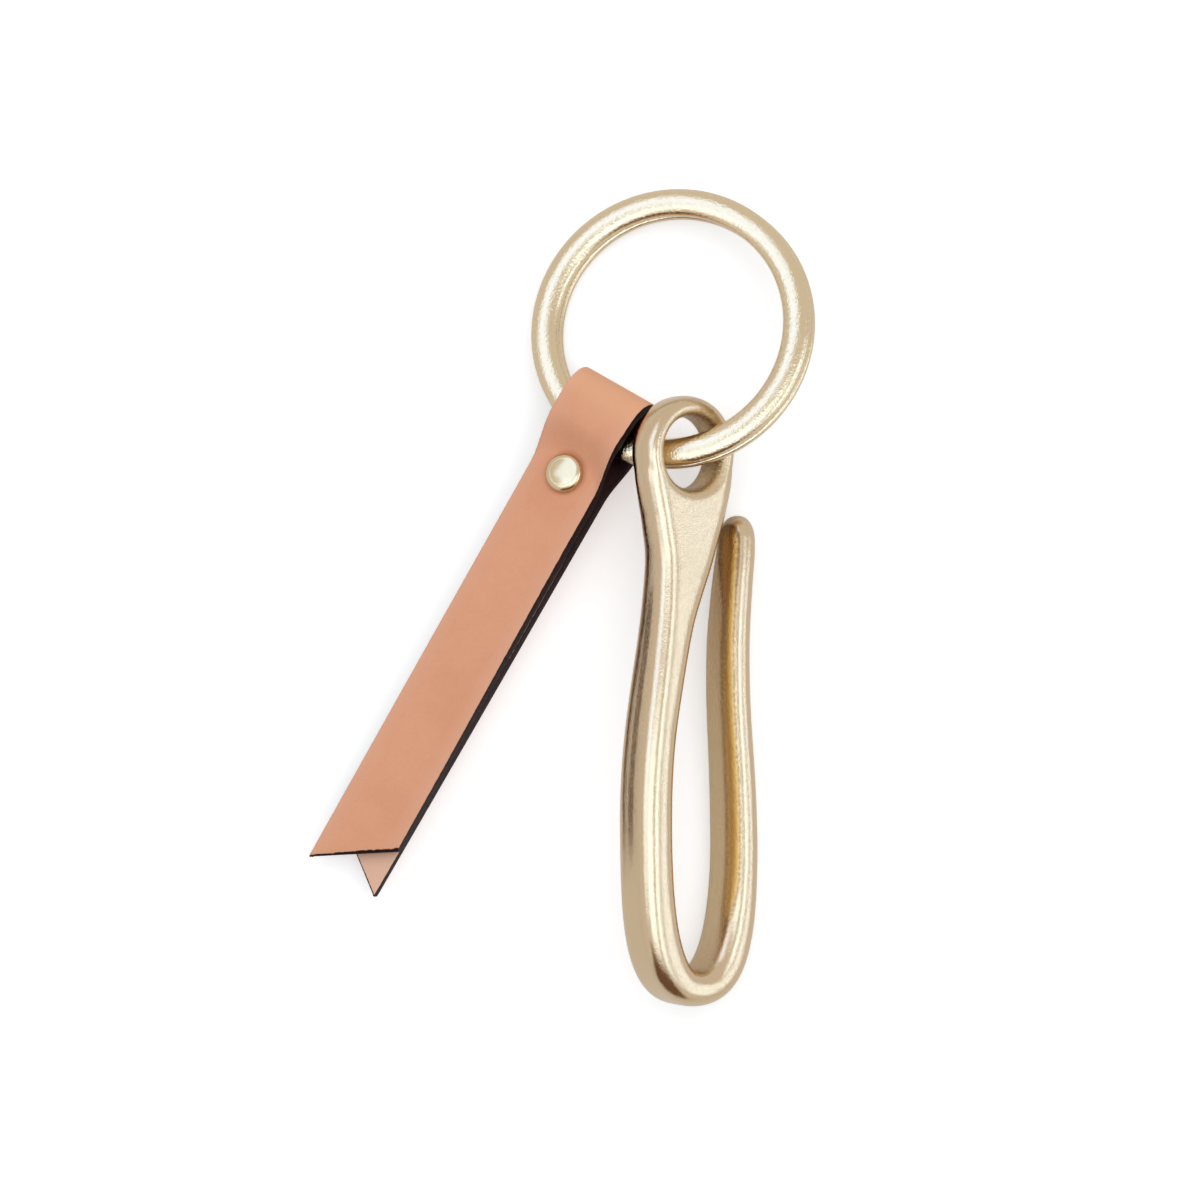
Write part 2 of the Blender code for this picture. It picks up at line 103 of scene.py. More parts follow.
class KeyHolderHook(bpy.types.PropertyGroup):
    """Sizes of the cast hook."""
    height: length("Length", "From the eye's rim to the bottom of the bend", 0.0762)
    bend_width: length("Bend width", "Between the middles of the two arms", 0.014)
    bend_height: length("Bend height", "Height of the round bend", 0.0167)
    thickness: length("Band thickness", "Thickness of the band in the hook's plane", 0.0042)
    depth: length("Band depth", "Width of the band across the hook's plane", 0.0068)
    edge_radius: length("Edge radius", "Rounding of the band's long edges", 0.0020)
    eye_diameter: length("Eye diameter", "Across the outside of the round eye", 0.0142)
    eye_wall: length("Eye wall", "Width of the eye's rim", 0.0027)
    eye_depth: length("Eye depth", "Depth of the eye along its axis", 0.0048)
    wire_drop: length("Wire drop", "How far the wire lies under the eye's centre", 0.0001)
    roll: turn("Roll", "Turn of the lying hook about its length", 39.0)
    pitch: turn("Pitch", "Rise of the hook's eye end", 1.4)


class KeyHolderStrap(bpy.types.PropertyGroup):
    """Sizes of the folded strap."""
    width: length("Width", "Width of the strap at the ring", 0.0101)
    end_width: length("End width", "Width of the strap at its tail", 0.0097)
    thickness: length("Thickness", "Thickness of the leather", 0.0018)
    gap: length("Gap", "Gap between the two layers", 0.0001)
    fold_reach: length("Fold reach", "From the ring's wire to the top of the fold", 0.00655)
    front_length: length("Front length", "Length of the front layer", 0.0709)
    back_length: length("Back length", "Length of the back layer", 0.0712)
    front_cut: length("Front cut", "Rise of the slanting cut of the front layer", 0.0064)
    back_cut: length("Back cut", "Rise of the slanting cut of the back layer", 0.0069)
    back_skew: length("Back skew", "Sideways drift of the back layer's tail", 0.0003)
    loop_half_gap: length("Loop half gap", "Half of the room for the ring in the fold", 0.0025)
    fold_length: length("Fold length", "Length of the round end of the fold", 0.0032)
    ramp_inset: length("Ramp inset", "How far the ramp reaches over the wire's edge", 0.0003)
    ramp: length("Ramp", "Length of the rise from the rivet to the ring", 0.0023)
    outer_ramp: length("Outer ramp", "Length of the same rise on the outer face", 0.0050)
    outer_delay: length("Outer delay", "How much later the outer face levels off", 0.0018)
    edge_ramp: length("Edge ramp", "Length of that rise along the two edges", 0.0076)
    corner_radius: length("Corner radius", "Rounding of the painted edges", 0.00016)
    cut_bevel: length("Cut bevel", "Rounding of the painted cuts at the tail", 0.00045)
    yaw: turn("Yaw", "Turn of the strap away from the ring's spoke", 6.7)
    fold_roll: turn("Fold roll", "Roll of the strap at its fold", 18.5)
    rivet_roll: turn("Rivet roll", "Roll of the strap at its rivet", 24.0)
    end_roll: turn("End roll", "Roll of the strap at its tail", 14.0)


class KeyHolderRivet(bpy.types.PropertyGroup):
    """Sizes of the double cap rivet."""
    reach: length("Reach", "From the top of the fold to the rivet", 0.0129)
    diameter: length("Cap diameter", "Across each cap", 0.0049)
    flat_diameter: length("Flat diameter", "Across the nearly flat top of a cap", 0.0033)
    height: length("Cap height", "Height of each cap", 0.0011)
    wall: length("Cap wall", "Thickness of the cap's sheet", 0.0003)
    crown: length("Crown", "Rise of the cap's top over its flat", 0.00015)
    seat_gap: length("Seat gap", "Gap between cap and leather", 0.00005)
    dent_depth: length("Dent depth", "How deep the cap presses into the leather", 0.00016)
    dent_reach: length("Dent reach", "How far the dent spreads past the cap", 0.0006)


class KeyHolderFinish(bpy.types.PropertyGroup):
    """Colours of the metals and of the leather."""
    cast_brass: tint("Cast brass", "Tumbled pale brass of the hook", "#D8BE9C")
    cast_skin: tint("Cast skin", "Rougher brass where the tumbling does not reach", "#DCC096")
    # Painted reflection: the brass's golden glow mirrored in itself along the front of the throat
    painted_golden_reflection: tint("Golden skin", "Cast skin along the front of the throat", "#C99A55")
    # Painted dark reflection down the shank's flank and beside the golden reflection; it also
    # darkens the eye's hole
    dark_reflection_and_darkening: tint("Patina", "Dark specks left on the flank", "#6B4C33")
    wire_brass: tint("Wire brass", "Tumbled pale brass of the ring", "#E2CBA6")
    cap_brass: tint("Cap brass", "Pressed pale brass of the rivet", "#DAC39B")
    leather: tint("Leather", "Vegetable tanned leather", "#ECAD8A")
    leather_deep: tint("Deep leather", "Deeper patches of the same leather", "#E19F7B")
    leather_margin: tint("Leather margin", "Paler leather along the cut edges", "#E9AF91")
    # Painted highlight on the top of the fold, where light falls
    painted_fold_highlight: tint("Fold", "Leather stretched paler over the fold", "#F1B58F")
    leather_flesh: tint("Flesh side", "Paler inner side of the leather at its tail", "#EFC2A8")
    # Painted shade inside the fold's loop
    painted_loop_shade: tint("Dark flesh side", "Stained inner side in the fold", "#2C1714")
    edge_paint: tint("Edge paint", "Dark paint on the cut edges", "#241113")
    edge_worn: tint("Worn edge", "Edge where the paint has worn through", "#6E3F2D")


class KeyHolderSettings(bpy.types.PropertyGroup):
    """Everything that a user may change."""
    ring: PointerProperty(type=KeyHolderRing)
    hook: PointerProperty(type=KeyHolderHook)
    strap: PointerProperty(type=KeyHolderStrap)
    rivet: PointerProperty(type=KeyHolderRivet)
    finish: PointerProperty(type=KeyHolderFinish)


# Directions round the ring, counter-clockwise from +X
TURN_SHIFT_DIRECTION = math.radians(-5.0)
EYE_DIRECTION = math.radians(-84.0)
STRAP_DIRECTION = math.radians(-126.3)

# Stations of the hook's arms as shares: sideways of the bend width and height of the hook's
# length, both from the eye, then thickness and depth of the band
POINT_ARM_SHARES = (
    (0.627, -0.144, 0.90, 0.74),
    (0.617, -0.166, 0.90, 0.79),
    (0.589, -0.199, 0.90, 0.83),
    (0.545, -0.272, 0.91, 0.88),
    (0.527, -0.325, 0.91, 0.91),
    (0.531, -0.408, 0.91, 0.94),
    (0.560, -0.486, 0.93, 0.96),
    (0.587, -0.563, 0.96, 0.99),
)
SHANK_ARM_SHARES = (
    (-0.428, -0.563, 1.17, 1.00),
    (-0.388, -0.466, 1.15, 1.00),
    (-0.292, -0.368, 1.23, 0.96),
    (-0.240, -0.321, 1.30, 0.92),
    (-0.183, -0.271, 1.42, 0.88),
    (-0.112, -0.218, 1.73, 0.83),
    (-0.049, -0.170, 2.10, 0.78),
    (-0.018, -0.118, 2.62, 0.75),
    (-0.007, -0.095, 2.85, 0.74),
    (0.005, -0.047, 3.28, 0.72),
    (0.002, -0.010, 3.35, 0.71),
)
# The dome of the hook's point, its bend and the rounding of its long edges
POINT_DOME_SHARE = 1.7
POINT_TIP_DEPTH = 0.15
BEND_THICKNESS_SHARE = 0.96
BEND_CENTRE_SHARE = 0.09
BEND_HALF_SHARE = 0.515
EDGE_ROUND_SHARE = 0.93
EYE_RIM_LAND = 0.00015
# Powers of the ovals: 2 is a plain ellipse, and a higher one is squarer
OVAL_POWER = 2.4
BEND_POWER = 2.4
BEND_OUTER_POWER = 2.75
BEND_INNER_POWER = 2.05
FOLD_POWER = 2.4
WIRE_FLAT_POWER = 5.0
# How the strap rises along its edges, how its paint fades and how its cut bevel widens
EDGE_RISE_POWER = 4
PAINT_FADE_POWER = 4
TAIL_SPACING_POWER = 0.9
CUT_WIDENING = 1.3
CAP_SHARP_ANGLE = math.radians(40.0)

# Fineness of the meshes
WIRE_STEPS_PER_TURN = 200
WIRE_SECTION_STEPS = 48
ARM_STEPS = 26
BEND_STEPS = 90
BAND_CORNER_STEPS = 10
EYE_STEPS = 160
OVAL_STEPS = 22
OVAL_HALVINGS = 30
HOOK_VOXEL = 0.00013
HOOK_SMOOTHING = 70
HOOK_SMOOTHING_FACTOR = 0.5
STATION_SMOOTHING = 90
CAP_STEPS = 96
CAP_ARC_STEPS = 14
CUT_OVERRUN = 0.0005
STRAP_COLUMNS = 56
STRAP_CORNER_STEPS = 4
TAIL_STEPS, RAMP_STEPS, LEVEL_STEPS, FOLD_STEPS = 130, 60, 8, 72
FOLD_ANGLE_STEP = 0.004
MERGE_DISTANCE = 1e-6


# Meshes

def smooth_step(share):
    """Rise from 0 to 1 with level ends."""
    share = min(max(share, 0.0), 1.0)
    return share * share * (3.0 - 2.0 * share)


def soft_rise(value, start, width):
    """Rise from 0 to 1 over a width that begins at a start."""
    return smooth_step((value - start) / width)


def signed_power(value, power):
    """A power that keeps the sign, for rounded sections."""
    return math.copysign(abs(value) ** power, value)


def arc(centre, radius, start, end, steps):
    """Points on an arc, in degrees, both ends included."""
    angles = [math.radians(start + (end - start) * step / steps) for step in range(steps + 1)]
    return [(centre[0] + radius * math.cos(a), centre[1] + radius * math.sin(a)) for a in angles]


def linked(name, data):
    """A new object in the scene."""
    made = bpy.data.objects.new(name, data)
    bpy.context.scene.collection.objects.link(made)
    return made


def add_object(name, mesh):
    """Link a mesh to the scene as a smooth object."""
    mesh.shade_smooth()
    return linked(name, mesh)


def finished(name, bm):
    """A mesh of a bmesh, its faces turned outwards."""
    bmesh.ops.recalc_face_normals(bm, faces=bm.faces)
    mesh = bpy.data.meshes.new(name)
    bm.to_mesh(mesh)
    bm.free()
    return mesh


def skin(name, loops):
    """A mesh over a row of like loops of points, with its ends closed."""
    bm = bmesh.new()
    rings = [[bm.verts.new(point) for point in loop] for loop in loops]
    for first, second in zip(rings, rings[1:]):
        for index, vert in enumerate(first):
            following = (index + 1) % len(first)
            bm.faces.new((vert, first[following], second[following], second[index]))
    bm.faces.new(rings[0])
    bm.faces.new(rings[-1])
    return finished(name, bm)


def turned(name, profile, steps):
    """A profile of (radius, height) points turned round Z, top to bottom on the outside."""
    bm = bmesh.new()
    points = [bm.verts.new((radius, 0.0, height)) for radius, height in profile]
    edges = [bm.edges.new(pair) for pair in zip(points, points[1:])]
    bmesh.ops.spin(bm, geom=points + edges, cent=(0, 0, 0), axis=(0, 0, 1), dvec=(0, 0, 0),
                   angle=2 * math.pi, steps=steps, use_duplicate=False)
    bmesh.ops.remove_doubles(bm, verts=bm.verts, dist=MERGE_DISTANCE)
    return finished(name, bm)


def applied(made, name):
    """The mesh of an object with its modifiers applied."""
    bpy.context.view_layer.update()
    shown = made.evaluated_get(bpy.context.evaluated_depsgraph_get())
    mesh = bpy.data.meshes.new_from_object(shown)
    mesh.name = name
    return mesh


def store(mesh, name, values):
    """Keep one number a vertex for the mesh's material."""
    layer = mesh.attributes.new(name, "FLOAT", "POINT")
    layer.data.foreach_set("value", values)


# Places of the pieces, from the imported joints

def joint_named(name):
    """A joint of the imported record."""
    for joint in frame["joints"]:
        if joint["name"] == name:
            return joint
    raise KeyError(f"the packed record has no joint {name}")


def ring_place():
    """Frame of the leaning ring, Z along its axis."""
    joint = joint_named("strap_slide")
    lean = Vector((0.0, 0.0, 1.0)).rotation_difference(Vector(joint["axis"]))
    return Matrix.Translation(joint["pos_m"]) @ lean.to_matrix().to_4x4()


def wire_spot(ring, direction):
    """A point on the middle of the ring's wire, in the world."""
    radius = (ring.outer_diameter - ring.wire_width) / 2
    return ring_place() @ Vector((radius * math.cos(direction), radius * math.sin(direction), 0.0))


def hook_place(settings):
    """Frame of the lying hook: Y up its length to the eye's centre, Z along the eye's axis."""
    hook = settings.hook
    spot = wire_spot(settings.ring, EYE_DIRECTION) + Vector((0.0, 0.0, hook.wire_drop))
    tilt = Matrix.Rotation(hook.pitch, 4, "X") @ Matrix.Rotation(hook.roll, 4, "Y")
    return Matrix.Translation(spot) @ tilt


def strap_place(settings):
    """Frame of the strap on the wire: X across, Y to the fold and Z up from the leather."""
    strap = settings.strap
    spot = wire_spot(settings.ring, STRAP_DIRECTION)
    heading = STRAP_DIRECTION + strap.yaw + math.pi / 2
    tail_lift = strap.width / 2 * math.sin(strap.end_roll)
    tail_lift += (strap.thickness + strap.gap / 2) * math.cos(strap.end_roll)
    slope = math.asin((spot.z - tail_lift) / (strap.front_length - strap.fold_reach))
    return (Matrix.Translation(spot) @ Matrix.Rotation(heading, 4, "Z")
            @ Matrix.Rotation(slope, 4, "X"))


# Split ring

def wire_rows(ring):
    """The two turns as places, outward directions and levels: front, crossing, back."""
    radius = (ring.outer_diameter - ring.wire_width) / 2
    rise = (ring.turn_thickness + ring.turn_gap) / 2
    crossing = ring.crossing / radius
    clearance = ring.end_clearance / radius
    first = STRAP_DIRECTION + crossing / 2 + clearance
    last = STRAP_DIRECTION + 4 * math.pi - crossing / 2 - clearance
    crossing_start = STRAP_DIRECTION + 2 * math.pi - crossing / 2
    count = round(WIRE_STEPS_PER_TURN * (last - first) / (2 * math.pi))
    slide = Vector((math.cos(TURN_SHIFT_DIRECTION), math.sin(TURN_SHIFT_DIRECTION), 0.0))
    rows = []
    for step in range(count + 1):
        angle = first + (last - first) * step / count
        level = 1.0 - 2.0 * smooth_step((angle - crossing_start) / crossing)
        outward = Vector((math.cos(angle), math.sin(angle), 0.0))
        spot = radius * outward - level * slide * ring.turn_shift / 2
        spot.z = level * rise
        rows.append((spot, outward, level))
    return rows


def wire_section(ring, level):
    """Sideways and height round the wire: domed away from the other turn, flat towards it."""
    flat_height = ring.turn_thickness - ring.dome_height
    share = (1.0 + level) / 2
    rise = flat_height + (ring.dome_height - flat_height) * share
    middle = ring.turn_thickness / 2 - rise
    points = []
    for step in range(WIRE_SECTION_STEPS):
        angle = 2 * math.pi * step / WIRE_SECTION_STEPS
        upper = math.sin(angle) >= 0.0
        domed = share if upper else 1.0 - share
        reach = rise if upper else ring.turn_thickness - rise
        power = 2.0 / (WIRE_FLAT_POWER + (2.0 - WIRE_FLAT_POWER) * domed)
        side = signed_power(math.cos(angle), power) * ring.wire_width / 2
        points.append((side, middle + signed_power(math.sin(angle), power) * reach))
    return points


def split_ring_mesh(ring):
    """The wire skinned along its two turns."""
    loops = []
    for spot, outward, level in wire_rows(ring):
        loops.append([spot + outward * side + Vector((0.0, 0.0, height))
                      for side, height in wire_section(ring, level)])
    mesh = skin("split_ring_wire", loops)
    mesh.transform(ring_place())
    return mesh


# Cast hook

def curve_through(rows):
    """Catmull-Rom curve through rows of numbers."""
    rows = [Vector(row) for row in rows]
    ends = [2 * rows[0] - rows[1]] + rows + [2 * rows[-1] - rows[-2]]
    made = []
    for before, start, end, after in zip(ends, ends[1:], ends[2:], ends[3:]):
        for step in range(ARM_STEPS):
            t = step / ARM_STEPS
            made.append(0.5 * (2 * start + (end - before) * t
                               + (2 * before - 5 * start + 4 * end - after) * t ** 2
                               + (3 * start - before - 3 * end + after) * t ** 3))
    return made + [rows[-1]]


def to_oval(spot, towards, half_width, half_height, power):
    """Distance from a spot along a direction to an oval round the bend's centre."""
    def inside(reach):
        place = spot + towards * reach
        return abs(place.x / half_width) ** power + abs(place.y / half_height) ** power < 1.0

    starts_inside = inside(0.0)
    near, far = 0.0, half_width
    for _ in range(OVAL_HALVINGS):
        middle = (near + far) / 2
        if inside(middle) == starts_inside:
            near = middle
        else:
            far = middle
    return near


def bend_stations(hook):
    """Stations of the bend, whose band fills the room between an outer and an inner oval."""
    half = hook.bend_width * BEND_HALF_SHARE
    low = hook.thickness * BEND_THICKNESS_SHARE
    centre = Vector((hook.bend_width * BEND_CENTRE_SHARE,
                     low / 2 - (hook.height - hook.eye_diameter / 2) + hook.bend_height))
    made = []
    for step in range(BEND_STEPS + 1):
        angle = math.pi * step / BEND_STEPS
        x = signed_power(math.cos(angle), 2 / BEND_POWER)
        y = -signed_power(math.sin(angle), 2 / BEND_POWER)
        spot = Vector((half * x, hook.bend_height * y))
        outward = Vector((signed_power(x, BEND_POWER - 1) / half,
                          signed_power(y, BEND_POWER - 1) / hook.bend_height)).normalized()
        side = hook.thickness * (1.0 if x > 0.0 else SHANK_ARM_SHARES[0][2])
        outer = to_oval(spot, outward, half + side / 2, hook.bend_height + low / 2,
                        BEND_OUTER_POWER)
        inner = to_oval(spot, -outward, half - side / 2, hook.bend_height - low / 2,
                        BEND_INNER_POWER)
        place = centre + spot + outward * (outer - inner) / 2
        made.append((place.x, place.y, outer + inner, hook.depth))
    return made


def eased(rows):
    """Rows of numbers with their kinks smoothed out, both ends kept."""
    rows = [Vector(row) for row in rows]
    for _ in range(STATION_SMOOTHING):
        inner = [(before + 2 * row + after) / 4
                 for before, row, after in zip(rows, rows[1:], rows[2:])]
        rows = [rows[0]] + inner + [rows[-1]]
    return rows


def hook_stations(hook):
    """Sideways place, height from the eye, thickness and depth, from point to eye."""
    def sized(shares):
        return [(hook.bend_width * side, hook.height * height, hook.thickness * thickness,
                 hook.depth * depth) for side, height, thickness, depth in shares]

    point_arm = sized(POINT_ARM_SHARES)
    shank_arm = sized(SHANK_ARM_SHARES)
    bend = bend_stations(hook)
    return eased(curve_through(point_arm + bend[:1]) + bend[1:-1]
                 + curve_through(bend[-1:] + shank_arm))


def band_loop(hook, centre, along, half_thickness, half_depth):
    """One cross-section of the band: a rectangle with round corners."""
    across = Vector((along.y, -along.x, 0.0))
    radius = min(hook.edge_radius, EDGE_ROUND_SHARE * half_thickness,
                 EDGE_ROUND_SHARE * half_depth)
    points = []
    for side_x, side_y, start in ((1, 1, 0), (-1, 1, 90), (-1, -1, 180), (1, -1, 270)):
        corner = (side_x * (half_thickness - radius), side_y * (half_depth - radius))
        points += arc(corner, radius, start, start + 90, BAND_CORNER_STEPS)
    return [centre + across * x + Vector((0.0, 0.0, y)) for x, y in points]


def band_loops(hook):
    """All cross-sections of the band, with the ones that round off its point."""
    rows = hook_stations(hook)
    sections = []
    for index, row in enumerate(rows):
        before = rows[max(index - 1, 0)]
        after = rows[min(index + 1, len(rows) - 1)]
        along = Vector((after[0] - before[0], after[1] - before[1], 0.0)).normalized()
        sections.append((Vector((row[0], row[1], 0.0)), along, row[2] / 2, row[3] / 2))
    centre, along, half_thickness, half_depth = sections[0]
    loops = []
    for step in range(BAND_CORNER_STEPS, 0, -1):
        angle = math.pi / 2 * step / (BAND_CORNER_STEPS + 0.5)
        shrink = math.cos(angle)
        end = centre - along * half_thickness * POINT_DOME_SHARE * math.sin(angle)
        loops.append(band_loop(hook, end, along, half_thickness * shrink,
                               half_depth * (POINT_TIP_DEPTH + (1 - POINT_TIP_DEPTH) * shrink)))
    return loops + [band_loop(hook, *section) for section in sections]


def oval_offset(share):
    """Half-width share of the eye's oval section at a share of its half-depth."""
    return (1.0 - abs(share) ** OVAL_POWER) ** (1.0 / OVAL_POWER)


def eye_profiles(hook):
    """Outlines of the eye's disc and of its flared hole, to turn round the eye's axis."""
    radius = (hook.eye_diameter - hook.eye_wall) / 2
    half_depth = hook.eye_depth / 2
    top = half_depth + CUT_OVERRUN
    flare = radius - EYE_RIM_LAND
    disc = [(0.0, half_depth)]
    hole = [(0.0, top), (flare, top)]
    for step in range(OVAL_STEPS + 1):
        share = math.cos(math.pi * step / OVAL_STEPS)
        reach = hook.eye_wall / 2 * oval_offset(share)
        disc.append((radius + reach, half_depth * share))
        if 0 < step < OVAL_STEPS:
            hole.append((radius - reach, half_depth * share))
    return disc + [(0.0, -half_depth)], hole + [(flare, -top), (0.0, -top)]


def combine(made, other, operation):
    """Join or cut a mesh object with another one and return the new mesh."""
    step = made.modifiers.new(operation.lower(), "BOOLEAN")
    step.operation = operation
    step.solver = "EXACT"
    step.object = other
    made.data = applied(made, made.data.name)
    made.modifiers.clear()
    bpy.data.objects.remove(other)


def hook_mesh(settings):
    """The hook cast in one: band and eye joined, their meeting lines softened."""
    hook = settings.hook
    disc, hole = eye_profiles(hook)
    made = add_object("hook_blank", skin("hook_casting", band_loops(hook)))
    combine(made, add_object("eye_disc", turned("eye_disc", disc, EYE_STEPS)), "UNION")
    combine(made, add_object("eye_hole", turned("eye_hole", hole, EYE_STEPS)), "DIFFERENCE")
    remesh = made.modifiers.new("even skin", "REMESH")
    remesh.mode = "VOXEL"
    remesh.voxel_size = HOOK_VOXEL
    soften = made.modifiers.new("softened edges", "SMOOTH")
    soften.factor = HOOK_SMOOTHING_FACTOR
    soften.iterations = HOOK_SMOOTHING
    mesh = applied(made, "hook_casting")
    bpy.data.objects.remove(made)
    return mesh


# Cast skin, painted reflections and darkening on the hook: where a soft rise begins and how wide it
# is, for how a spot faces, for its place along the hook's length and for its place across the bend's
# width
THROAT_FACING = (0.5, 0.35)
FLANK_FACING = (0.75, 0.2)
STREAK_START = (0.16, 0.1)
STREAK_END = (0.58, 0.17)
GOLDEN_ARM = (0.25, 0.15)
# Shares of the band's depth
GOLDEN_BORDER = 0.3
STREAK_HALF, STREAK_BORDER = 0.03, 0.12
TIP_REACH = 1.5
# Shares of the eye's rim
SKIN_REACH, SKIN_BORDER = 0.5, 0.3
HOLE_DARKENING_REACH, HOLE_DARKENING_BORDER = 0.35, 0.2
THROAT_FADE = 2.0
# How dark the eye's hole is made, and how dark the painted dark reflection is at the point and
# beside the golden reflection
HOLE_DARKENING, TIP_DARK_REFLECTION, GOLDEN_DARK_REFLECTION = 0.55, 0.5, 3.0


def throat_share(hook, point, normal):
    """1 where a spot of the hook faces the inside of its throat."""
    centre = hook.bend_width * BEND_CENTRE_SHARE
    bottom = hook.bend_height - (hook.height - hook.eye_diameter / 2)
    top = hook.height * POINT_ARM_SHARES[0][1]
    middle = Vector((centre, min(max(point.y, bottom), top), 0.0))
    inward = (middle - Vector((point.x, point.y, 0.0))).normalized()
    facing = soft_rise(normal.dot(inward), *THROAT_FACING)
    return facing * (1.0 - soft_rise(point.y, top, hook.eye_wall * THROAT_FADE))


def hole_share(hook, point, reach, border):
    """1 in the eye's hole, fading over a border that ends a reach into its rim."""
    inner = hook.eye_diameter / 2 - hook.eye_wall
    radius = Vector((point.x, point.y)).length
    return smooth_step((inner + hook.eye_wall * reach - radius) / (hook.eye_wall * border))


def cast_skin_share(hook, point, normal):
    """How much a spot keeps its cast skin: in the eye's hole and in the throat."""
    return max(hole_share(hook, point, SKIN_REACH, SKIN_BORDER),
               throat_share(hook, point, normal))


def tip_share(hook, point):
    """1 at the hook's point, 0 from one and a half band depths below it."""
    below = hook.height * POINT_ARM_SHARES[0][1] - point.y
    return 1.0 - soft_rise(below, 0.0, hook.depth * TIP_REACH)


def golden_reflection_share(hook, point, normal):
    """How much painted golden reflection, the brass mirrored in itself, a spot gets: deepest along
    the front edge of the point arm's inner face.
    """
    forward = soft_rise(point.z / hook.depth, -GOLDEN_BORDER * tip_share(hook, point),
                        GOLDEN_BORDER)
    on_arm = soft_rise(point.x / hook.bend_width, *GOLDEN_ARM)
    return throat_share(hook, point, normal) * forward * on_arm


def darkening_share(hook, point, normal):
    """Where the hook is painted darker: a painted dark reflection outside on the shank and beside
    the golden reflection, and a darker eye's hole.
    """
    # A painted dark reflection down the outer flank of the shank
    outward = 0.0 if point.x > 0.0 else soft_rise(-normal.x, *FLANK_FACING)
    across = 1.0 - soft_rise(abs(point.z), hook.depth * STREAK_HALF, hook.depth * STREAK_BORDER)
    down = -point.y / hook.height
    along = soft_rise(down, *STREAK_START) * (1.0 - soft_rise(down, *STREAK_END))
    # A painted dark reflection beside the golden reflection, darkest at the point
    golden = golden_reflection_share(hook, point, normal)
    border = golden * (GOLDEN_DARK_REFLECTION * (1.0 - golden) + TIP_DARK_REFLECTION * tip_share(hook, point))
    # The eye's hole is made darker
    in_hole = hole_share(hook, point, HOLE_DARKENING_REACH, HOLE_DARKENING_BORDER)
    return max(outward * across * along, HOLE_DARKENING * in_hole, border)


# Leather strap

def rivet_spot(settings):
    """Place of the rivet along the strap."""
    return settings.strap.fold_reach - settings.rivet.reach


def strap_twist(settings, along):
    """Roll of the strap about its length: most at the rivet, least at the ends."""
    strap = settings.strap
    rivet_at = rivet_spot(settings)
    fold_share = smooth_step((along - rivet_at) / settings.rivet.reach)
    tail_share = smooth_step((rivet_at - along) / (strap.front_length - settings.rivet.reach))
    roll = strap.rivet_roll + (strap.fold_roll - strap.rivet_roll) * fold_share
    return roll + (strap.end_roll - strap.rivet_roll) * tail_share


def strap_width(settings, along):
    """Width of the strap, which narrows a little to its tail."""
    strap = settings.strap
    behind = max(rivet_spot(settings) - along, 0.0)
    share = behind / (strap.front_length - settings.rivet.reach)
    return strap.width + (strap.end_width - strap.width) * share


def on_strap(settings, across, along, above):
    """A point of the strap in its frame, with the strap's roll at that place."""
    twist = strap_twist(settings, along)
    return Vector((across * math.cos(twist) - above * math.sin(twist), along,
                   across * math.sin(twist) + above * math.cos(twist)))


def risen(along, end, middle_length, edge_length, edge_share):
    """Share and slope of a rise that ends at a place, longer towards the strap's edges."""
    rise = middle_length + (edge_length - middle_length) * edge_share ** EDGE_RISE_POWER
    share = min(max((along - end + rise) / rise, 0.0), 1.0)
    return smooth_step(share), 6.0 * share * (1.0 - share) / rise


def layer_levels(settings, along, edge_share):
    """Inner and outer height of a layer over the strap's middle, before the fold."""
    strap = settings.strap
    layer = (strap.thickness + strap.gap) / 2
    gain = strap.loop_half_gap + strap.thickness / 2 - layer
    ramp_end = -settings.ring.wire_width / 2 + strap.ramp_inset
    share, steepness = risen(along, ramp_end, strap.ramp, strap.edge_ramp, edge_share)
    half = strap.thickness / 2 * math.hypot(1.0, steepness * gain)
    inner = max(layer + gain * share - half, strap.gap / 2)
    share, _ = risen(along, ramp_end + strap.outer_delay, strap.outer_ramp, strap.edge_ramp,
                     edge_share)
    return inner, layer + gain * share + strap.thickness / 2


def dent(settings, across, along):
    """Depth pressed into the leather under and round a cap."""
    rivet = settings.rivet
    away = math.hypot(across, along - rivet_spot(settings))
    return rivet.dent_depth * (1.0 - soft_rise(away, rivet.diameter / 2, rivet.dent_reach))


def fold_spot(settings, angle, depth):
    """Along and height of the fold at an angle from its start, at a depth of the leather."""
    strap = settings.strap
    start = strap.fold_reach - strap.thickness / 2 - strap.fold_length
    loop = strap.loop_half_gap + strap.thickness / 2

    def on_curve(turn_angle):
        return Vector((start + strap.fold_length * math.sin(turn_angle) ** (2 / FOLD_POWER),
                       loop * signed_power(math.cos(turn_angle), 2 / FOLD_POWER)))

    ahead = (on_curve(min(angle + FOLD_ANGLE_STEP, math.pi))
             - on_curve(max(angle - FOLD_ANGLE_STEP, 0.0)))
    outward = Vector((-ahead.y, ahead.x)).normalized()
    return on_curve(angle) + outward * depth


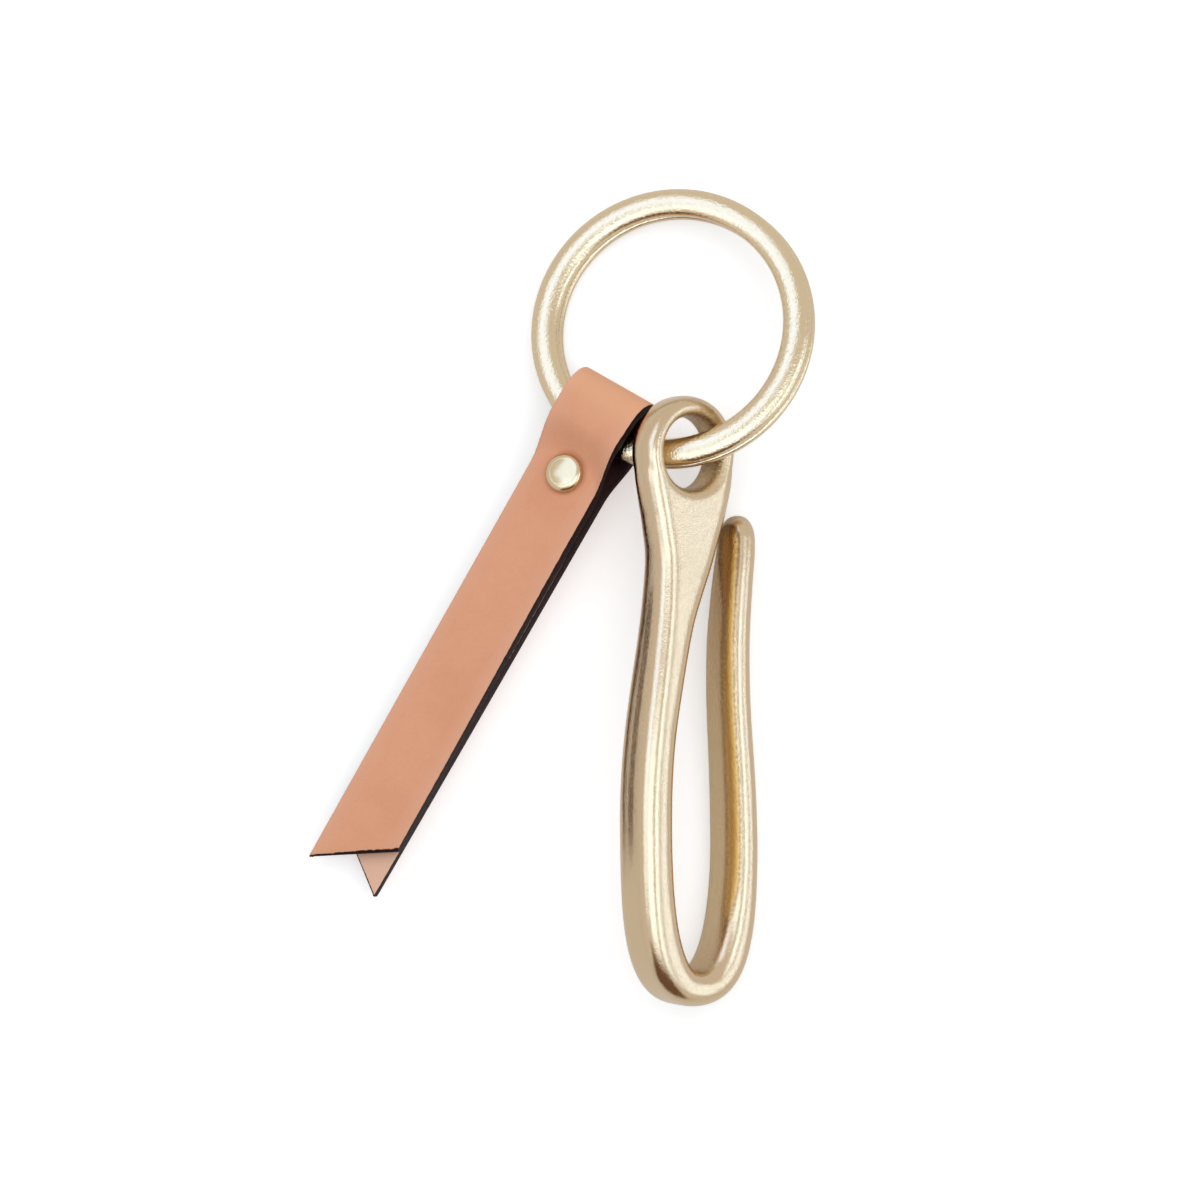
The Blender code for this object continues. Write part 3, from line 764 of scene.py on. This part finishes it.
def strap_columns(settings):
    """Points round one cross-section: share across, inset from the edge, depth and edge."""
    strap = settings.strap
    radius = strap.corner_radius
    half = strap.thickness / 2
    corner = [(radius * (1 - math.sin(a)), half - radius * (1 - math.cos(a)))
              for a in (math.pi / 2 * step / STRAP_CORNER_STEPS
                        for step in range(STRAP_CORNER_STEPS + 1))]
    face = [(2.0 * column / STRAP_COLUMNS - 1.0, 0.0, 1.0, 0.0)
            for column in range(1, STRAP_COLUMNS)]
    right = [(1.0, inset, depth / half, step / STRAP_CORNER_STEPS)
             for step, (inset, depth) in enumerate(corner)]
    upper = face + right
    lower = [(share, inset, -depth, edge) for share, inset, depth, edge in reversed(upper)]
    left = [(-1.0, inset, depth, edge) for _, inset, depth, edge in reversed(right)]
    return left + upper + lower + [(-1.0, inset, -depth, edge) for _, inset, depth, edge in right]


def strap_rows(settings):
    """Stations from the front tail over the fold to the back tail: kind, share and side."""
    front = [("layer", (step / TAIL_STEPS) ** TAIL_SPACING_POWER, 1.0)
             for step in range(TAIL_STEPS + 1)]
    for kind, steps in (("ramp", RAMP_STEPS), ("level", LEVEL_STEPS)):
        front += [(kind, step / steps, 1.0) for step in range(1, steps + 1)]
    fold = [("fold", math.pi * step / FOLD_STEPS, 0.0) for step in range(1, FOLD_STEPS)]
    return front + fold + [(kind, share, -1.0) for kind, share, _ in reversed(front)]


def strap_point(settings, row, column, end_inset):
    """One point of the strap's surface, in the strap's frame."""
    strap = settings.strap
    kind, place, side = row
    share, inset, depth, edge = column
    half = strap.thickness / 2
    edge_inset = share * inset
    if kind == "fold":
        along, above = fold_spot(settings, place, depth * half)
        across = share * strap.width / 2 - edge_inset
        return on_strap(settings, across, along, above)
    ramp_end = -settings.ring.wire_width / 2 + strap.ramp_inset
    tail_end = ramp_end - strap.edge_ramp
    fold_start = strap.fold_reach - half - strap.fold_length
    if side > 0:
        tip = strap.fold_reach - strap.front_length + strap.front_cut * (share + 1) / 2
        end_inset *= 1.0 + CUT_WIDENING * (share + 1) / 2
    else:
        tip = strap.fold_reach - strap.back_length + strap.back_cut * (1 - share) / 2
    if kind == "layer":
        along = tip + end_inset + (tail_end - tip - end_inset) * place
    elif kind == "ramp":
        along = tail_end + strap.edge_ramp * place
    else:
        along = ramp_end + (fold_start - ramp_end) * place
    inner, outer = layer_levels(settings, along, abs(share))
    across = share * strap_width(settings, along) / 2 - edge_inset
    outer -= dent(settings, across, along)
    above = side * (inner + (outer - inner) * (depth + 1) / 2)
    if side < 0:
        across -= strap.back_skew * max(rivet_spot(settings) - along, 0.0) / strap.back_length
    return on_strap(settings, across, along, above)


def end_rounding(strap):
    """Insets and thinning from the cut end to the full leather, with the share of painted edge."""
    made = []
    for step in range(STRAP_CORNER_STEPS + 1):
        angle = math.pi / 2 * step / STRAP_CORNER_STEPS
        thin = 1.0 - strap.cut_bevel * (1.0 - math.sin(angle)) / (strap.thickness / 2)
        painted = 1.0 - (step / STRAP_CORNER_STEPS) ** PAINT_FADE_POWER
        made.append((strap.cut_bevel * (1.0 - math.cos(angle)), thin, painted))
    return made


def strap_mesh(settings):
    """The strap skinned in loops along its folded length, its cut ends rounded."""
    columns = strap_columns(settings)
    rows = strap_rows(settings)
    rounding = end_rounding(settings.strap)
    full_inset = rounding[-1][0]
    stations = [(rows[0], *entry) for entry in rounding]
    stations += [(row, full_inset, 1.0, 0.0) for row in rows[1:-1]]
    stations += [(rows[-1], *entry) for entry in reversed(rounding)]
    loops = []
    values = {"painted_edge": [], "margin": [], "flesh_side": [], "along_strap": []}
    for row, end_inset, thin, end_edge in stations:
        loop = []
        for share, inset, depth, edge in columns:
            point = strap_point(settings, row, (share, inset, depth * thin, edge), end_inset)
            loop.append(point)
            values["painted_edge"].append(max(edge, end_edge))
            values["margin"].append(1.0 - abs(share))
            values["flesh_side"].append(1.0 if depth < 0.0 else 0.0)
            values["along_strap"].append(point.y)
        loops.append(loop)
    mesh = skin("strap_leather", loops)
    for name, numbers in values.items():
        store(mesh, name, numbers)
    mesh.transform(strap_place(settings))
    return mesh


# Rivet

def rivet_place(settings):
    """Frame of the rivet: Z square to the leather."""
    rivet_at = rivet_spot(settings)
    roll = Matrix.Rotation(-strap_twist(settings, rivet_at), 4, "Y")
    return strap_place(settings) @ Matrix.Translation((0.0, rivet_at, 0.0)) @ roll


def cap_mesh(settings, side):
    """A pressed cap with a slightly crowned top and a round rim, on one face of the strap."""
    rivet = settings.rivet
    outer = rivet.diameter / 2
    flat = rivet.flat_diameter / 2
    rim = outer - flat
    base = settings.strap.thickness + settings.strap.gap / 2 + rivet.seat_gap
    top = base + rivet.height
    level = top - rim
    profile = []
    for step in range(CAP_ARC_STEPS):
        share = step / CAP_ARC_STEPS
        profile.append((flat * share, top - rivet.crown * share ** 2))
    for radius, height in arc((flat, level), rim, 90, 0, CAP_ARC_STEPS):
        sink = rivet.crown * max(height - level, 0.0) / rim
        profile.append((radius, height - sink))
    profile += [(outer, base), (outer - rivet.wall, base)]
    profile += arc((flat, level), rim - rivet.wall, 0, 90, CAP_ARC_STEPS)
    profile.append((0.0, top - rivet.wall))
    mesh = turned("rivet_cap", profile, CAP_STEPS)
    mesh.set_sharp_from_angle(angle=CAP_SHARP_ANGLE)
    mesh.transform(rivet_place(settings) @ Matrix.Rotation(0.0 if side > 0 else math.pi, 4, "X"))
    return mesh


# Materials

NOISE_INPUTS = ("Vector", "Scale", "Detail", "Roughness")
RANGE_INPUTS = ("Value", "From Min", "From Max", "To Min", "To Max")
MIX_INPUTS, MIX_OUTPUT = (0, 6, 7), 2


def per_mm(millimetres):
    """Scale of a pattern whose features are this many millimetres apart."""
    return 1000.0 / millimetres


# Patterns: spacing, detail and roughness
BRASS_CLOUDS = (per_mm(7.0), 3.0, 0.5)
BRASS_WAVES = (per_mm(2.6), 1.0, 0.5)
SAND_GRAIN = (per_mm(0.35), 4.0, 0.65)
LEATHER_CLOUDS = (per_mm(9.0), 4.0, 0.6)
LEATHER_SPECKS = (per_mm(0.55), 3.0, 0.7)
EDGE_BRUSH = (per_mm(0.8), 3.0, 0.5)
LEATHER_PORES = per_mm(0.32)
FACET_DETAIL = (2.0, 0.6)

# Ranges of a pattern and the results at its two ends
BRASS_TONE = (0.35, 0.7, 0.0, 0.22)
FACET_RANGE = (0.3, 0.7)
DARKENING_RANGE = (1.0, 1.6, 0.0, 0.75)
DEEP_PATCHES = (0.32, 0.68, -0.1, 0.45)
PALE_MARGIN = (0.0, 0.45, 0.75, 0.0)
LIT_FOLD = (0.0, 0.006, 0.0, 0.8)
SHADED_LOOP = (-0.03, -0.015, 0.0, 1.0)
PAINT_BORDER = (1.0, 1.1, 0.0, 1.0)
WORN_PAINT = (0.58, 0.74, 0.0, 0.75)
WAXED_SHINE = (0.3, 0.7, 0.48, 0.62)

# Each brass: roughness, then spacing in millimetres and depth in metres of its peened facets
WIRE_PEENING = (0.09, 0.3, 0.00005)
CAST_PEENING = (0.085, 0.2, 0.000026)
CAP_PEENING = (0.18, 0.2, 0.000005)
DULLEST, GLOSSIEST = 1.2, 0.85
WAVE_DEPTH = 0.00004
PIT_DEPTH = 0.00011
DARKENING_SPECKLE = 1.1
SKIN_DULLNESS = 0.14
LEATHER_GRAIN_DEPTH = 0.000012
LEATHER_MOTTLE = 0.5
LEATHER_GLOSS = 0.1
BRUSH_WANDER = 0.7


def add_node(tree, kind, inputs=None, **settings):
    """Add a node with its settings; an input is a value or the socket that feeds it."""
    made = tree.nodes.new("ShaderNode" + kind)
    for name, value in settings.items():
        setattr(made, name, value)
    for name, value in (inputs or {}).items():
        if isinstance(value, bpy.types.NodeSocket):
            tree.links.new(value, made.inputs[name])
        else:
            made.inputs[name].default_value = value
    return made


def add_each(tree, kind, output, names, rows, **settings):
    """Add a node for each row of values of the named inputs, and return an output of each."""
    return [add_node(tree, kind, dict(zip(names, row)), **settings).outputs[output]
            for row in rows]


def new_material(name):
    """A material with an empty tree of nodes."""
    made = bpy.data.materials.new(name)
    made.use_nodes = True
    made.node_tree.nodes.clear()
    return made, made.node_tree


def tumbled_brass(name, finish, colour, deep_colour, peening, skinned=False):
    """Pale brass tumbled with media: a soft satin shine over tiny peened facets."""
    made, tree = new_material(name)
    place = add_node(tree, "TexCoord").outputs["Object"]
    roughness, spacing, facet_depth = peening
    # Slow clouds of tone from handling, facets peened by the media, and soft waves
    clouds, facets, waves = add_each(tree, "TexNoise", "Fac", NOISE_INPUTS, (
        (place, *BRASS_CLOUDS), (place, per_mm(spacing), *FACET_DETAIL), (place, *BRASS_WAVES)))
    tone, shine = add_each(tree, "MapRange", "Result", RANGE_INPUTS, (
        (clouds, *BRASS_TONE),
        (facets, *FACET_RANGE, roughness * GLOSSIEST, roughness * DULLEST)))
    layers = [(tone, deep_colour)]
    bumps = [(waves, WAVE_DEPTH), (facets, facet_depth)]
    if skinned:
        # Cast skin keeps the sand's grain and pits, and stays duller and warmer
        sand, = add_each(tree, "TexNoise", "Fac", NOISE_INPUTS, [(place, *SAND_GRAIN)])
        skin_share, gold_share, dark_reflection_and_darkening = (
            add_node(tree, "Attribute", attribute_name=share).outputs["Fac"]
            for share in ("cast_skin", "golden", "dark_reflection_and_darkening"))
        # The painted dark reflection and the darker eye's hole break up into specks at their borders
        speckled, shine = add_each(tree, "Math", 0, (0, 1, 2), (
            (sand, DARKENING_SPECKLE, dark_reflection_and_darkening), (skin_share, SKIN_DULLNESS, shine)),
            operation="MULTIPLY_ADD")
        darkened, = add_each(tree, "MapRange", "Result", RANGE_INPUTS, [(speckled, *DARKENING_RANGE)])
        # Over the brass: cast skin, a painted golden reflection in the throat, and a painted dark
        # reflection on the flank that also darkens the eye's hole
        layers += [(skin_share, finish.cast_skin[:]), (gold_share, finish.painted_golden_reflection[:]),
                   (darkened, finish.dark_reflection_and_darkening[:])]
        pits = add_node(tree, "Math", {0: skin_share, 1: sand}, operation="MULTIPLY")
        bumps.append((pits.outputs[0], PIT_DEPTH))
    for layer in layers:
        colour, = add_each(tree, "Mix", MIX_OUTPUT, MIX_INPUTS, [(layer[0], colour, layer[1])],
                           data_type="RGBA")
    normal = {}
    for height, depth in bumps:
        bump = add_node(tree, "Bump", {"Height": height, "Strength": 1.0, "Distance": depth,
                                       **normal})
        normal = {"Normal": bump.outputs["Normal"]}
    shader = add_node(tree, "BsdfPrincipled", {"Base Color": colour, "Metallic": 1.0,
                                               "Roughness": shine, **normal})
    add_node(tree, "OutputMaterial", {"Surface": shader.outputs["BSDF"]})
    return made


def painted_edge_leather(finish):
    """Vegetable tanned leather with a smooth waxed grain and dark painted edges."""
    made, tree = new_material("vegetable_tanned_leather")
    place = add_node(tree, "TexCoord").outputs["Object"]
    clouds, specks, brush = add_each(tree, "TexNoise", "Fac", NOISE_INPUTS, (
        (place, *LEATHER_CLOUDS), (place, *LEATHER_SPECKS), (place, *EDGE_BRUSH)))
    pores = add_node(tree, "TexVoronoi", {"Vector": place, "Scale": LEATHER_PORES})
    margin, along, flesh, edge = (
        add_node(tree, "Attribute", attribute_name=share).outputs["Fac"]
        for share in ("margin", "along_strap", "flesh_side", "painted_edge"))
    # The grain is paler within about 2 mm of its edges, and painted paler over the top of the fold
    # as a painted highlight where light falls on it
    pale, lit = add_each(tree, "MapRange", "Result", RANGE_INPUTS, (
        (margin, *PALE_MARGIN), (along, *LIT_FOLD)), interpolation_type="SMOOTHSTEP")
    tone, loop_shade, worn, shine = add_each(tree, "MapRange", "Result", RANGE_INPUTS, (
        (clouds, *DEEP_PATCHES), (along, *SHADED_LOOP), (specks, *WORN_PAINT),
        (specks, *WAXED_SHINE)))
    # Brushed edge paint: its border wanders, and fibres show through in flecks
    mottle, wander = add_each(tree, "Math", 0, (0, 1, 2), (
        (specks, LEATHER_MOTTLE, tone), (brush, BRUSH_WANDER, edge)), operation="MULTIPLY_ADD")
    painted, = add_each(tree, "MapRange", "Result", RANGE_INPUTS, [(wander, *PAINT_BORDER)])
    # The flesh side is pale at the tail, and painted dark in the loop as painted shade
    flesh_side, paint = add_each(tree, "Mix", MIX_OUTPUT, MIX_INPUTS, (
        (loop_shade, finish.leather_flesh[:], finish.painted_loop_shade[:]),
        (worn, finish.edge_paint[:], finish.edge_worn[:])), data_type="RGBA")
    colour = finish.leather[:]
    # Layers: deep patches, pale margins, the painted fold highlight, the flesh side with its painted
    # loop shade, and the edge paint
    for layer in ((mottle, finish.leather_deep[:]), (pale, finish.leather_margin[:]),
                  (lit, finish.painted_fold_highlight[:]), (flesh, flesh_side), (painted, paint)):
        colour, = add_each(tree, "Mix", MIX_OUTPUT, MIX_INPUTS, [(layer[0], colour, layer[1])],
                           data_type="RGBA")
    grain = add_node(tree, "Math", {0: pores.outputs["Distance"], 1: specks}, operation="ADD")
    bump = add_node(tree, "Bump", {"Height": grain.outputs[0], "Strength": 1.0,
                                   "Distance": LEATHER_GRAIN_DEPTH})
    shader = add_node(tree, "BsdfPrincipled", {"Base Color": colour, "Roughness": shine,
                                               "Specular IOR Level": LEATHER_GLOSS,
                                               "Normal": bump.outputs["Normal"]})
    add_node(tree, "OutputMaterial", {"Surface": shader.outputs["BSDF"]})
    return made


# Stage

CAMERA_OVER = (0.004953, -0.000541)
FOCUS_LEVEL = 0.007
CAMERA_DISTANCE = 0.45
CAMERA_CLIP = (0.01, 20.0)
PHOTO_WIDTH = 0.15
STAGE_CENTRE = Vector((0.006, 0.0, 0.008))
PANEL_DISTANCE = 0.6
TABLE_WIDTH = 6.0
TABLE_WHITE = "#F1F3F5"
TABLE_GLOW = 0.42
TABLE_MIRRORED_GLOW = 0.05
ROOM_LIGHT = 0.62
DAYLIGHT = (0.47, 0.7, 1.0)
SKY = (0.33, 0.55, 1.0)
WHITE = (1.0, 1.0, 1.0)
SEEN_RAYS = ("Is Camera Ray", "Is Glossy Ray", "Is Transmission Ray")

# Lights: azimuth, elevation, width and height in degrees, radiance, colour, shown in the metal
PANELS = {
    "overhead_panel": (-90, 79, 40, 40, 1.7, DAYLIGHT, True),
    "right_panel": (-12, 40, 38, 30, 1.7, DAYLIGHT, True),
    "right_low_panel": (-12, 10, 38, 11, 1.7, DAYLIGHT, True),
    "left_panel": (-170, 53, 24, 30, 1.3, DAYLIGHT, True),
    "back_left_panel": (138, 49, 46, 34, 1.5, SKY, True),
    "key_light": (75, 74, 70, 60, 1.12, WHITE, False),
}
# Dark cards: azimuth and elevation in degrees, then distance, width and height, and colour
FLAGS = {
    "front_flag": (-94, 24, 0.4, 0.54, 0.34, "#7A624F"),
    "right_bar": (-12, 30, 0.5, 0.5, 0.02, "#3A2A1E"),
}


def ray_kind(tree, *names):
    """1 for rays of the named kinds."""
    path = add_node(tree, "LightPath")
    kind = path.outputs[names[0]]
    for name in names[1:]:
        kind = add_node(tree, "Math", {0: kind, 1: path.outputs[name]},
                        operation="MAXIMUM").outputs[0]
    return kind


def white_table():
    """A matt white table that keeps the soft contact shadow and washes out the rest."""
    made, tree = new_material("matt_white_table")
    matt = add_node(tree, "BsdfDiffuse", {"Color": linear(TABLE_WHITE)})
    seen = add_node(tree, "Math", {0: ray_kind(tree, "Is Camera Ray"),
                                   1: TABLE_GLOW - TABLE_MIRRORED_GLOW}, operation="MULTIPLY")
    lift = add_node(tree, "Math", {0: ray_kind(tree, *SEEN_RAYS), 1: TABLE_MIRRORED_GLOW,
                                   2: seen.outputs[0]}, operation="MULTIPLY_ADD")
    glow = add_node(tree, "Emission", {"Strength": lift.outputs[0]})
    both = add_node(tree, "AddShader", {0: matt.outputs[0], 1: glow.outputs[0]})
    add_node(tree, "OutputMaterial", {"Surface": both.outputs[0]})
    return made


def flat_sheet(name, width, height, material):
    """A level rectangle round the origin, in one material."""
    mesh = bpy.data.meshes.new(name)
    mesh.from_pydata([(side * width / 2, end * height / 2, 0)
                      for side, end in ((-1, -1), (1, -1), (1, 1), (-1, 1))],
                     [], [(0, 1, 2, 3)])
    mesh.materials.append(material)
    return linked(name, mesh)


def facing_table(azimuth, elevation, distance):
    """Frame of a panel that faces the middle of the table, its place in degrees."""
    azimuth, elevation = math.radians(azimuth), math.radians(elevation)
    flat = math.cos(elevation)
    towards = Vector((flat * math.cos(azimuth), flat * math.sin(azimuth), math.sin(elevation)))
    return Matrix.Translation(STAGE_CENTRE + towards * distance) @ (
        towards.to_track_quat("Z", "Y").to_matrix().to_4x4())


def soft_panel(name, azimuth, elevation, width, height, radiance, colour, mirrored):
    """A soft light that isn't seen itself: mirrored in the metal, or falling on matt things."""
    wide, high = (2 * PANEL_DISTANCE * math.tan(math.radians(angle / 2))
                  for angle in (width, height))
    lamp = bpy.data.lights.new(name, "AREA")
    lamp.shape = "RECTANGLE"
    lamp.size = wide
    lamp.size_y = high
    lamp.color = colour
    lamp.energy = radiance * math.pi * wide * high
    made = linked(name, lamp)
    made.matrix_world = facing_table(azimuth, elevation, PANEL_DISTANCE)
    made.visible_camera = False
    made.visible_glossy = mirrored
    made.visible_diffuse = not mirrored


def dark_flag(name, azimuth, elevation, distance, width, height, code):
    """A dark card at the edge of the stage that shows only as a dark streak in the metal."""
    made, tree = new_material(name + "_card")
    card = add_node(tree, "Emission", {"Color": linear(code), "Strength": 1.0})
    add_node(tree, "OutputMaterial", {"Surface": card.outputs[0]})
    flag = flat_sheet(name, width, height, made)
    flag.matrix_world = facing_table(azimuth, elevation, distance)
    flag.visible_camera = False
    flag.visible_diffuse = False
    flag.visible_shadow = False


# Operators

class KEYHOLDER_OT_split_ring(bpy.types.Operator):
    """Build the double turn split ring."""
    bl_idname = "key_holder.split_ring"
    bl_label = "Split Ring"

    def execute(self, context):
        settings = context.scene.key_holder
        mesh = split_ring_mesh(settings.ring)
        finish = settings.finish
        mesh.materials.append(tumbled_brass("tumbled_wire_brass", finish, finish.wire_brass[:],
                                            finish.cast_brass[:], WIRE_PEENING))
        made = add_object("split_ring_wire", mesh)
        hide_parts("split_ring")
        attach(made, "ring_body")
        return {"FINISHED"}


class KEYHOLDER_OT_hook(bpy.types.Operator):
    """Build the cast hook with its eye."""
    bl_idname = "key_holder.hook"
    bl_label = "Hook"

    def execute(self, context):
        settings = context.scene.key_holder
        mesh = hook_mesh(settings)
        # Cast skin, the painted golden reflection, and the painted dark reflection with the darker
        # eye's hole, one number a vertex
        for name, rule in (("cast_skin", cast_skin_share), ("golden", golden_reflection_share),
                           ("dark_reflection_and_darkening", darkening_share)):
            store(mesh, name, [rule(settings.hook, vertex.co, vertex.normal)
                               for vertex in mesh.vertices])
        mesh.transform(hook_place(settings))
        finish = settings.finish
        mesh.materials.clear()
        mesh.materials.append(tumbled_brass("tumbled_cast_brass", finish, finish.cast_brass[:],
                                            finish.cast_skin[:], CAST_PEENING, True))
        made = add_object("hook_casting", mesh)
        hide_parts("hook")
        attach(made, "hook_body")
        return {"FINISHED"}


class KEYHOLDER_OT_strap(bpy.types.Operator):
    """Build the folded leather strap."""
    bl_idname = "key_holder.strap"
    bl_label = "Leather Strap"

    def execute(self, context):
        settings = context.scene.key_holder
        mesh = strap_mesh(settings)
        mesh.materials.append(painted_edge_leather(settings.finish))
        made = add_object("strap_leather", mesh)
        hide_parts("strap")
        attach(made, "strap_body")
        return {"FINISHED"}


class KEYHOLDER_OT_rivet(bpy.types.Operator):
    """Build the rivet's two caps and finish its inner halves."""
    bl_idname = "key_holder.rivet"
    bl_label = "Rivet"

    def execute(self, context):
        settings = context.scene.key_holder
        finish = settings.finish
        brass = tumbled_brass("pressed_cap_brass", finish, finish.cap_brass[:],
                              finish.wire_brass[:], CAP_PEENING)
        for side, node in ((1, "rivet_front_cap"), (-1, "rivet_back_cap")):
            mesh = cap_mesh(settings, side)
            mesh.materials.append(brass)
            made = add_object(node + "_shell", mesh)
            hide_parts(node)
            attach(made, "strap_body")
        for node in ("rivet_socket", "rivet_post"):
            for slot in frame["nodes"][node].material_slots:
                slot.material = brass
        return {"FINISHED"}


class KEYHOLDER_OT_stage(bpy.types.Operator):
    """Set the table, the soft lights and the camera."""
    bl_idname = "key_holder.stage"
    bl_label = "Stage"

    def execute(self, context):
        scene = context.scene
        scene.view_settings.view_transform = "Standard"
        table = flat_sheet("table", TABLE_WIDTH, TABLE_WIDTH, white_table())

        world = bpy.data.worlds.new("white_room")
        scene.world = world
        world.use_nodes = True
        tree = world.node_tree
        tree.nodes.clear()
        level = add_node(tree, "MapRange", {"Value": ray_kind(tree, *SEEN_RAYS),
                                            "To Min": ROOM_LIGHT, "To Max": 1.0})
        room = add_node(tree, "Background", {"Strength": level.outputs["Result"]})
        add_node(tree, "OutputWorld", {"Surface": room.outputs[0]})

        for name, values in PANELS.items():
            soft_panel(name, *values)
        for name, values in FLAGS.items():
            dark_flag(name, *values)

        lens = bpy.data.cameras.new("camera")
        lens.type = "PERSP"
        lens.sensor_fit = "HORIZONTAL"
        lens.angle = 2 * math.atan(PHOTO_WIDTH / 2 / CAMERA_DISTANCE)
        lens.clip_start, lens.clip_end = CAMERA_CLIP
        lens.dof.use_dof = False
        camera = linked("camera", lens)
        camera.location = (*CAMERA_OVER, FOCUS_LEVEL + CAMERA_DISTANCE)
        scene.camera = camera
        return {"FINISHED"}


class KEYHOLDER_PT_panel(bpy.types.Panel):
    """The key holder's operators and sizes in the sidebar."""
    bl_idname = "KEYHOLDER_PT_panel"
    bl_label = "Key Holder"
    bl_space_type = "VIEW_3D"
    bl_region_type = "UI"
    bl_category = "Key Holder"

    def draw(self, context):
        settings = context.scene.key_holder
        for operator, group in ((KEYHOLDER_OT_split_ring, settings.ring),
                                (KEYHOLDER_OT_hook, settings.hook),
                                (KEYHOLDER_OT_strap, settings.strap),
                                (KEYHOLDER_OT_rivet, settings.rivet),
                                (KEYHOLDER_OT_stage, settings.finish)):
            box = self.layout.box()
            box.operator(operator.bl_idname)
            for name in group.bl_rna.properties.keys():
                if name not in ("rna_type", "name"):
                    box.prop(group, name)


CLASSES = (KeyHolderRing, KeyHolderHook, KeyHolderStrap, KeyHolderRivet, KeyHolderFinish,
           KeyHolderSettings, KEYHOLDER_OT_split_ring, KEYHOLDER_OT_hook, KEYHOLDER_OT_strap,
           KEYHOLDER_OT_rivet, KEYHOLDER_OT_stage, KEYHOLDER_PT_panel)


def register():
    for entry in CLASSES:
        bpy.utils.register_class(entry)
    bpy.types.Scene.key_holder = PointerProperty(type=KeyHolderSettings)


def unregister():
    del bpy.types.Scene.key_holder
    for entry in reversed(CLASSES):
        bpy.utils.unregister_class(entry)


def main():
    register()
    bpy.ops.key_holder.split_ring()
    bpy.ops.key_holder.hook()
    bpy.ops.key_holder.strap()
    bpy.ops.key_holder.rivet()
    bpy.ops.key_holder.stage()


if __name__ == "__main__":
    main()
